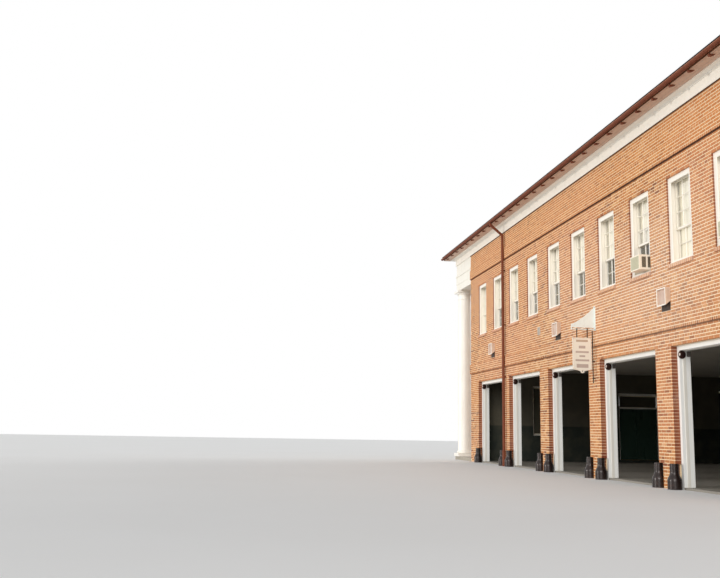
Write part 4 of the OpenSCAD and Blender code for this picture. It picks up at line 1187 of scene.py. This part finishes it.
# Bays and floors
class FIRESTATION_OT_bays(bpy.types.Operator):
    """Finishes the bay frames, guards, bells, floors and ceilings"""

    bl_idname = "firestation.bays"
    bl_label = "Bays and floors"

    def execute(self, context):
        dress(paint_finish("bay_frame_paint", tint(252, 252, 248), 0.12, 0.42), "bay_frames")
        iron = dark_finish("guard_iron", tint(33, 22, 19), 0.26, 0.2, tint(72, 50, 42))
        dress(iron, "wheel_guards")
        dress(dark_finish("bell_iron", tint(52, 30, 26), 0.35, 0.5, tint(116, 84, 64)), "bay_bells")
        slabs = (BAY_PITCH, HALF_D / 2)
        dress(stone_finish("engine_floor", tint(148, 142, 132), slabs, 0.62), "ground_slab")
        dress(stone_finish("upper_concrete", tint(196, 190, 178), None, 0.85), "upper_floor")
        dress(paint_finish("attic_boards", tint(168, 132, 92), 0.6, 0.7, ("Y", 0.12)), "attic_floor")
        self.bolts(iron)
        return {"FINISHED"}

    def bolts(self, iron):
        """Anchor bolts on the guards' rims, the bells' hubs and boxes, and the frames' stop beads."""
        bolts, beads, boxes = Shape(), Shape(), Shape()
        bead = [(-0.3, 0.0), (-0.22, 0.0), (-0.225, 0.012), (-0.295, 0.012)]
        head = BAY_H - HEADER_H
        for x in BAY_XS:
            for side in (-1, 1):
                middle = Vector((x + side * (BAY_W / 2 + 0.015), -HALF_D - 0.03, 0))
                for turn in (-0.75, 0.75):
                    a = -math.pi / 2 + turn
                    away = Vector((math.cos(a), math.sin(a), 0))
                    place = middle + away * 0.155 + Vector((0, 0, 0.05))
                    bolts.bolt(place, away, 0.013)
            reach = BAY_W / 2 - JAMB_W
            s0, s1 = x + HALF_L - reach, x + HALF_L + reach
            for s, into in ((s0, 1), (s1, -1)):
                beads.upright(FRONT, [(s + into * up, d) for d, up in bead], 0.05, head)
            beads.along(FRONT, [(d, head - up) for d, up in bead], s0, s1)
            boxes.block(FRONT, s0 - 0.002, s0 + 0.05, -0.4, -0.32, head - 0.14, head - 0.02)
        low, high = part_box("bay_bells")
        hubs, radius = Shape(), (high.z - low.z) / 2
        hub = [(-0.004, 0.034), (0.003, 0.034), (0.008, 0.026), (0.01, 0.012)]
        for i in range(BAY_COUNT):
            middle = Vector((low.x + radius + i * BAY_PITCH, low.y, (low.z + high.z) / 2))
            hubs.turned(middle, (0, -1, 0), hub, 16)
        metal = metal_finish("hub_metal", tint(206, 196, 188), 0.3, 0.35)
        hubs.object("bell_hubs", metal, slot="pale_metal", smooth=40)
        bolts.object("guard_bolts", iron)
        paint = paint_finish("bead_paint", tint(236, 232, 222), 0.4)
        beads.object("bay_stop_beads", paint, slot="white_paint")
        boxes.object("bell_boxes", dark_finish("box_grey", tint(84, 78, 72), 0.5), bevel=0.004)


# Plain painted bars on the sign: how far down each starts, its height and half its width
SIGN_ROWS = (
    (0.225, 0.075, 0.095),
    (0.375, 0.05, 0.19),
    (0.49, 0.05, 0.083),
    (0.605, 0.05, 0.2),
    (0.735, 0.1, 0.17),
)


# Fittings on the walls
class FIRESTATION_OT_fittings(bpy.types.Operator):
    """Fits out the lamps, air conditioners, sign and conduit"""

    bl_idname = "firestation.fittings"
    bl_label = "Fittings"

    def execute(self, context):
        settings = context.scene.station_fittings
        dress(metal_finish("enamel", settings.enamel, 0.25, 0.4), "wall_lamps")
        dress(metal_finish("cooler_enamel", tint(250, 240, 220), 0.15, 0.4), "air_conditioners")
        dress(metal_finish("vent_paint", tint(206, 200, 190), 0.3, 0.5), "wall_vent")
        dress(metal_finish("bracket_paint", tint(240, 247, 242), 0.12, 0.42), "sign_bracket")
        hooks = (SIGN_TOP + 0.002, tint(52, 42, 36))
        dress(paint_finish("sign_paint", settings.sign, 0.35, 0.5, above=hooks), "sign_board")
        dress(dark_finish("conduit_iron", tint(40, 32, 28), 0.5, 0.3), "sign_conduit")
        self.lenses()
        self.louvres()
        self.sign()
        self.clips()
        return {"FINISHED"}

    def lenses(self):
        """Ribbed glass set back in each lamp, a bright rim round it, ribs on the sides in a darker enamel as
        painted shade, and a dark plate behind and below it as the painted shadow on the wall.
        """
        lenses, rims, ribs, plates = Shape(), Shape(), Shape(), Shape()
        low, high, out = LAMPS_LOW.z, LAMPS_HIGH.z, -LAMPS_LOW.y - HALF_D
        half, z0, z1 = LENS_HALF_W, low + 0.028, high - 0.028
        glass = [(0.041, z0), (0.033, z0 + 0.012), (0.028, (z0 + z1) / 2), (0.033, z1 - 0.012), (0.041, z1)]
        for s in LAMP_SS:
            lenses.along(FRONT, [(out - d, z) for d, z in glass], s - half, s + half)
            for a, b in ((-LAMP_HALF_W, -half), (half, LAMP_HALF_W)):
                rims.block(FRONT, s + a, s + b, out - 0.002, out + 0.004, low + 0.002, high - 0.002)
            for c, d in ((low + 0.002, z0), (z1, high - 0.002)):
                rims.block(FRONT, s - half, s + half, out - 0.002, out + 0.004, c, d)
            for side in (-1, 1):
                a, b = sorted(s + side * (LAMP_HALF_W + gap) for gap in (0.001, 0.006))
                for d in (0.03, 0.055, 0.08):
                    ribs.block(FRONT, a, b, d, d + 0.008, low + 0.13, high - 0.02)
            # Painted shadow: a dark plate on the wall behind and under the lamp.
            plates.block(FRONT, s - 0.2, s + 0.2, -0.001, 0.018, low - 0.11, low + 0.12)
        lenses.object("lamp_lenses", lens_finish(), slot="cream_metal", bevel=0.003)
        bright = metal_finish("rim_enamel", tint(253, 246, 236), 0.1, 0.35)
        rims.object("lamp_rims", bright, slot="cream_metal", bevel=0.001)
        # Painted shade: the side ribs are a darker enamel than the lamp's front.
        side_shade_enamel = metal_finish("rib_enamel", tint(206, 176, 152), 0.2, 0.45)
        ribs.object("lamp_ribs", side_shade_enamel, slot="cream_metal")
        plates.object("lamp_backplates", dark_finish("backplate_iron", tint(50, 36, 28), 0.6))

    def louvres(self):
        """Dark backs that paint the shade inside the coolers' side vents, their slats, and the grille on
        their faces.
        """
        backs, plates = Shape(), Shape()
        slats = []
        base = SILL_Z + FRAME_W
        for window in COOLED:
            s1 = window[1] + WINDOW_W / 2 - FRAME_W - COOLER_GAP
            s0, z0, z1 = s1 - COOLER_W, base + 0.05, base + COOLER_H - 0.05
            for s, into in ((s0, 1), (s1, -1)):
                for d0, d1 in ((0.0755, 0.1845), (-0.0795, 0.0295)):
                    a, b = sorted((s + into * 0.0079, s + into * 0.005))
                    backs.block(FRONT, a, b, d0, d1, z0 + 0.0005, z1 - 0.0005)
                    for k in range(12):
                        place = FRONT.at(s + into * 0.0035, (d0 + d1) / 2, z0 + (k + 0.5) * (z1 - z0) / 12)
                        slats.append((place, (0.006, d1 - d0, 0.003), (0, 0.6 * into, 0)))
            front = (COOLER_OUT - 0.001, COOLER_OUT + 0.002)
            plates.block(FRONT, s0 + 0.03, s1 - 0.03, *front, base + 0.03, base + COOLER_H - 0.03)
            for k in range(15):
                place = FRONT.at((s0 + s1) / 2, COOLER_OUT + 0.003, base + 0.045 + k * 0.02)
                slats.append((place, (COOLER_W - 0.08, 0.006, 0.009), (0.35, 0, 0)))
        # Painted shade: dark plates behind the side vents' slats.
        backs.object("cooler_louvre_backs", dark_finish("louvre_dark", tint(56, 36, 24), 0.7))
        grille = metal_finish("grille_enamel", tint(204, 200, 172), 0.2, 0.5)
        plates.object("cooler_grilles", grille, slot="cream_metal")
        grown("cooler_slats", block_tree(), slats, slot="cream_metal", Unevenness=0.0, Seed=3, Finish=grille)

    def sign(self):
        """A raised border, a head rail and plain bars on both faces of the board."""
        low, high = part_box("sign_board")
        x, y = (low.x + high.x) / 2, (low.y + high.y) / 2
        border, rail, bars = Shape(), Shape(), Shape()
        local = Wall((0, 0, 0), (0, 1, 0), (1, 0, 0))
        reach = SIGN_HALF_W - 0.012
        for side in (-1, 1):
            d0, d1 = sorted(x + side * (SIGN_HALF_T + rise) for rise in (-0.002, 0.005))
            for s in (-reach, SIGN_HALF_W - 0.03):
                border.block(local, y + s, y + s + 0.018, d0, d1, SIGN_TOP - 0.86, SIGN_TOP - 0.012)
            border.block(local, y - reach, y + reach, d0, d1, SIGN_TOP - 0.03, SIGN_TOP - 0.012)
            out = d1 + (0.004 if side > 0 else 0)
            rail.block(local, y - 0.17, y + 0.17, d0, out, SIGN_TOP - 0.115, SIGN_TOP - 0.06)
        for drop, height, half in SIGN_ROWS:
            for side in (-1, 1):
                d0, d1 = sorted(x + side * (SIGN_HALF_T + rise) for rise in (-0.002, 0.001))
                bars.block(local, y - half, y + half, d0, d1, SIGN_TOP - drop - height, SIGN_TOP - drop)
        for shape, name, paint, bevel in (
            (bars, "sign_bars", paint_finish("sign_bar_paint", tint(196, 176, 164), 0.5), 0.0),
            (border, "sign_border", paint_finish("sign_border_paint", tint(238, 226, 208), 0.4), 0.002),
            (rail, "sign_head_rail", paint_finish("sign_rail_paint", tint(196, 172, 150), 0.4), 0.003),
        ):
            shape.object(name, paint, body="sign", slot="sign_paint", bevel=bevel)

    def clips(self):
        """Clips on the conduit and bolts on the bracket's foot."""
        low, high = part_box("sign_conduit")
        s = (low.x + high.x) / 2 + HALF_L
        iron = dark_finish("clip_iron", tint(52, 40, 34), 0.55, 0.4)
        clips = Shape()
        for z in (2.72, 3.2, 3.72):
            out = BELT_OUT if LOWER_BELT < z < LOWER_BELT + BELT_H else 0.0
            clips.block(FRONT, s - 0.035, s + 0.035, out, out + 0.008, z, z + 0.025)
            clips.block(FRONT, s - 0.017, s + 0.017, out, 0.072, z, z + 0.025)
        low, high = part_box("sign_bracket")
        s = (low.x + high.x) / 2 + HALF_L
        for z in (low.z + 0.03, high.z - 0.03):
            for side in (-0.04, 0.04):
                clips.bolt(FRONT.at(s + side, 0.013, z), FRONT.out, 0.012)
        clips.object("clips_and_bolts", iron)


# Stage
class FIRESTATION_OT_stage(bpy.types.Operator):
    """Sets the camera, the pale floor and the soft studio light"""

    bl_idname = "firestation.stage"
    bl_label = "Stage"

    def execute(self, context):
        scene, settings = context.scene, context.scene.station_stage
        self.camera(scene, settings)
        self.floor(settings)
        self.lights(scene, settings)
        scene.view_settings.view_transform = "Standard"
        return {"FINISHED"}

    def camera(self, scene, settings):
        yaw, pitch, roll = (math.radians(angle) for angle in PHOTO_ANGLES)
        ahead = Vector((-math.cos(yaw), math.sin(yaw), 0))
        right = Vector((math.sin(yaw), math.cos(yaw), 0))
        up = Vector((0, 0, 1))
        look = math.cos(pitch) * ahead + math.sin(pitch) * up
        lifted = -math.sin(pitch) * ahead + math.cos(pitch) * up
        across = math.cos(roll) * right + math.sin(roll) * lifted
        upright = math.cos(roll) * lifted - math.sin(roll) * right
        camera = bpy.data.cameras.new("photo_camera")
        camera.lens, camera.sensor_width = settings.lens, 36
        camera.clip_start, camera.clip_end = 0.1, 500
        holder = placed("photo_camera", camera)
        matrix = Matrix((across, upright, -look)).transposed().to_4x4()
        matrix.translation = PHOTO_PLACE
        holder.matrix_world = matrix
        scene.camera = holder

    def floor(self, settings):
        made = Finish("studio_floor", 0.9)
        made.end(made.layer(settings.floor, tint(214, 212, 206), made.noise(0.25, 3), 0.3, 0.7, 0.0, 0.08))
        flat = bpy.data.meshes.new("studio_floor")
        corners = [(90 * x, 90 * y, -0.002) for x, y in ((-1, -1), (1, -1), (1, 1), (-1, 1))]
        flat.from_pydata(corners, [], [(0, 1, 2, 3)])
        flat.materials.append(made.material)
        placed("studio_floor", flat)

    def lights(self, scene, settings):
        world = bpy.data.worlds.new("studio_world")
        world.use_nodes = True
        scene.world = world
        made = Nodes(world.node_tree)
        ground, sky = made.tree.nodes["Background"], made.add("ShaderNodeBackground")
        ground.inputs["Color"].default_value = (0.93, 0.96, 1.0, 1)
        ground.inputs["Strength"].default_value = settings.fill
        sky.inputs["Color"].default_value = (1, 1, 1, 1)
        rays, both = made.add("ShaderNodeLightPath"), made.add("ShaderNodeMixShader")
        either, seen = (made.add("ShaderNodeMath", operation="ADD", use_clamp=True) for _ in range(2))
        made.link(
            (rays, "Is Camera Ray", either, 0),
            (rays, "Is Glossy Ray", either, 1),
            (either, 0, seen, 0),
            (rays, "Is Transmission Ray", seen, 1),
            (seen, 0, both, "Fac"),
            (ground, "Background", both, 1),
            (sky, "Background", both, 2),
            (both, "Shader", made.tree.nodes["World Output"], "Surface"),
        )
        self.lamp("key_light", settings.key, 8, (1.0, 0.97, 0.93), (0.08, 1.0, -0.13))
        self.lamp("side_light", settings.side, 30, (1.0, 0.98, 0.95), (-1.0, 0.5, -0.35))
        self.lamp("back_light", settings.back, 30, (1.0, 0.98, 0.96), (0.4, -1.0, -0.5))

    def lamp(self, name, strength, width, colour, towards):
        sun = bpy.data.lights.new(name, "SUN")
        sun.energy, sun.angle, sun.color = strength, math.radians(width), colour
        holder = placed(name, sun)
        holder.matrix_world = Vector(towards).to_track_quat("-Z", "Y").to_matrix().to_4x4()


# Panel and registration
class FIRESTATION_PT_pieces(bpy.types.Panel):
    """Lists the steps that dress the building"""

    bl_idname = "FIRESTATION_PT_pieces"
    bl_label = "Fire Station"
    bl_space_type = "VIEW_3D"
    bl_region_type = "UI"
    bl_category = "Fire Station"

    def draw(self, context):
        for step in STEPS:
            self.layout.operator(step.bl_idname)
        for group in GROUPS:
            settings = getattr(context.scene, group)
            box = self.layout.box()
            for name in settings.__annotations__:
                box.prop(settings, name)


STEPS = (
    FIRESTATION_OT_stage,
    FIRESTATION_OT_bricks,
    FIRESTATION_OT_roof,
    FIRESTATION_OT_windows,
    FIRESTATION_OT_cornice,
    FIRESTATION_OT_portico,
    FIRESTATION_OT_bays,
    FIRESTATION_OT_fittings,
)
GROUPS = {
    "station_bricks": BrickSettings,
    "station_roof": RoofSettings,
    "station_joinery": JoinerySettings,
    "station_fittings": FittingSettings,
    "station_stage": StageSettings,
}


def register():
    for group in GROUPS.values():
        bpy.utils.register_class(group)
    for step in STEPS:
        bpy.utils.register_class(step)
    bpy.utils.register_class(FIRESTATION_PT_pieces)
    for name, group in GROUPS.items():
        setattr(bpy.types.Scene, name, PointerProperty(type=group))


def unregister():
    for name in GROUPS:
        delattr(bpy.types.Scene, name)
    bpy.utils.unregister_class(FIRESTATION_PT_pieces)
    for step in reversed(STEPS):
        bpy.utils.unregister_class(step)
    for group in reversed(list(GROUPS.values())):
        bpy.utils.unregister_class(group)


def main():
    register()
    for step in STEPS:
        group, name = step.bl_idname.split(".")
        getattr(getattr(bpy.ops, group), name)()


if __name__ == "__main__":
    main()
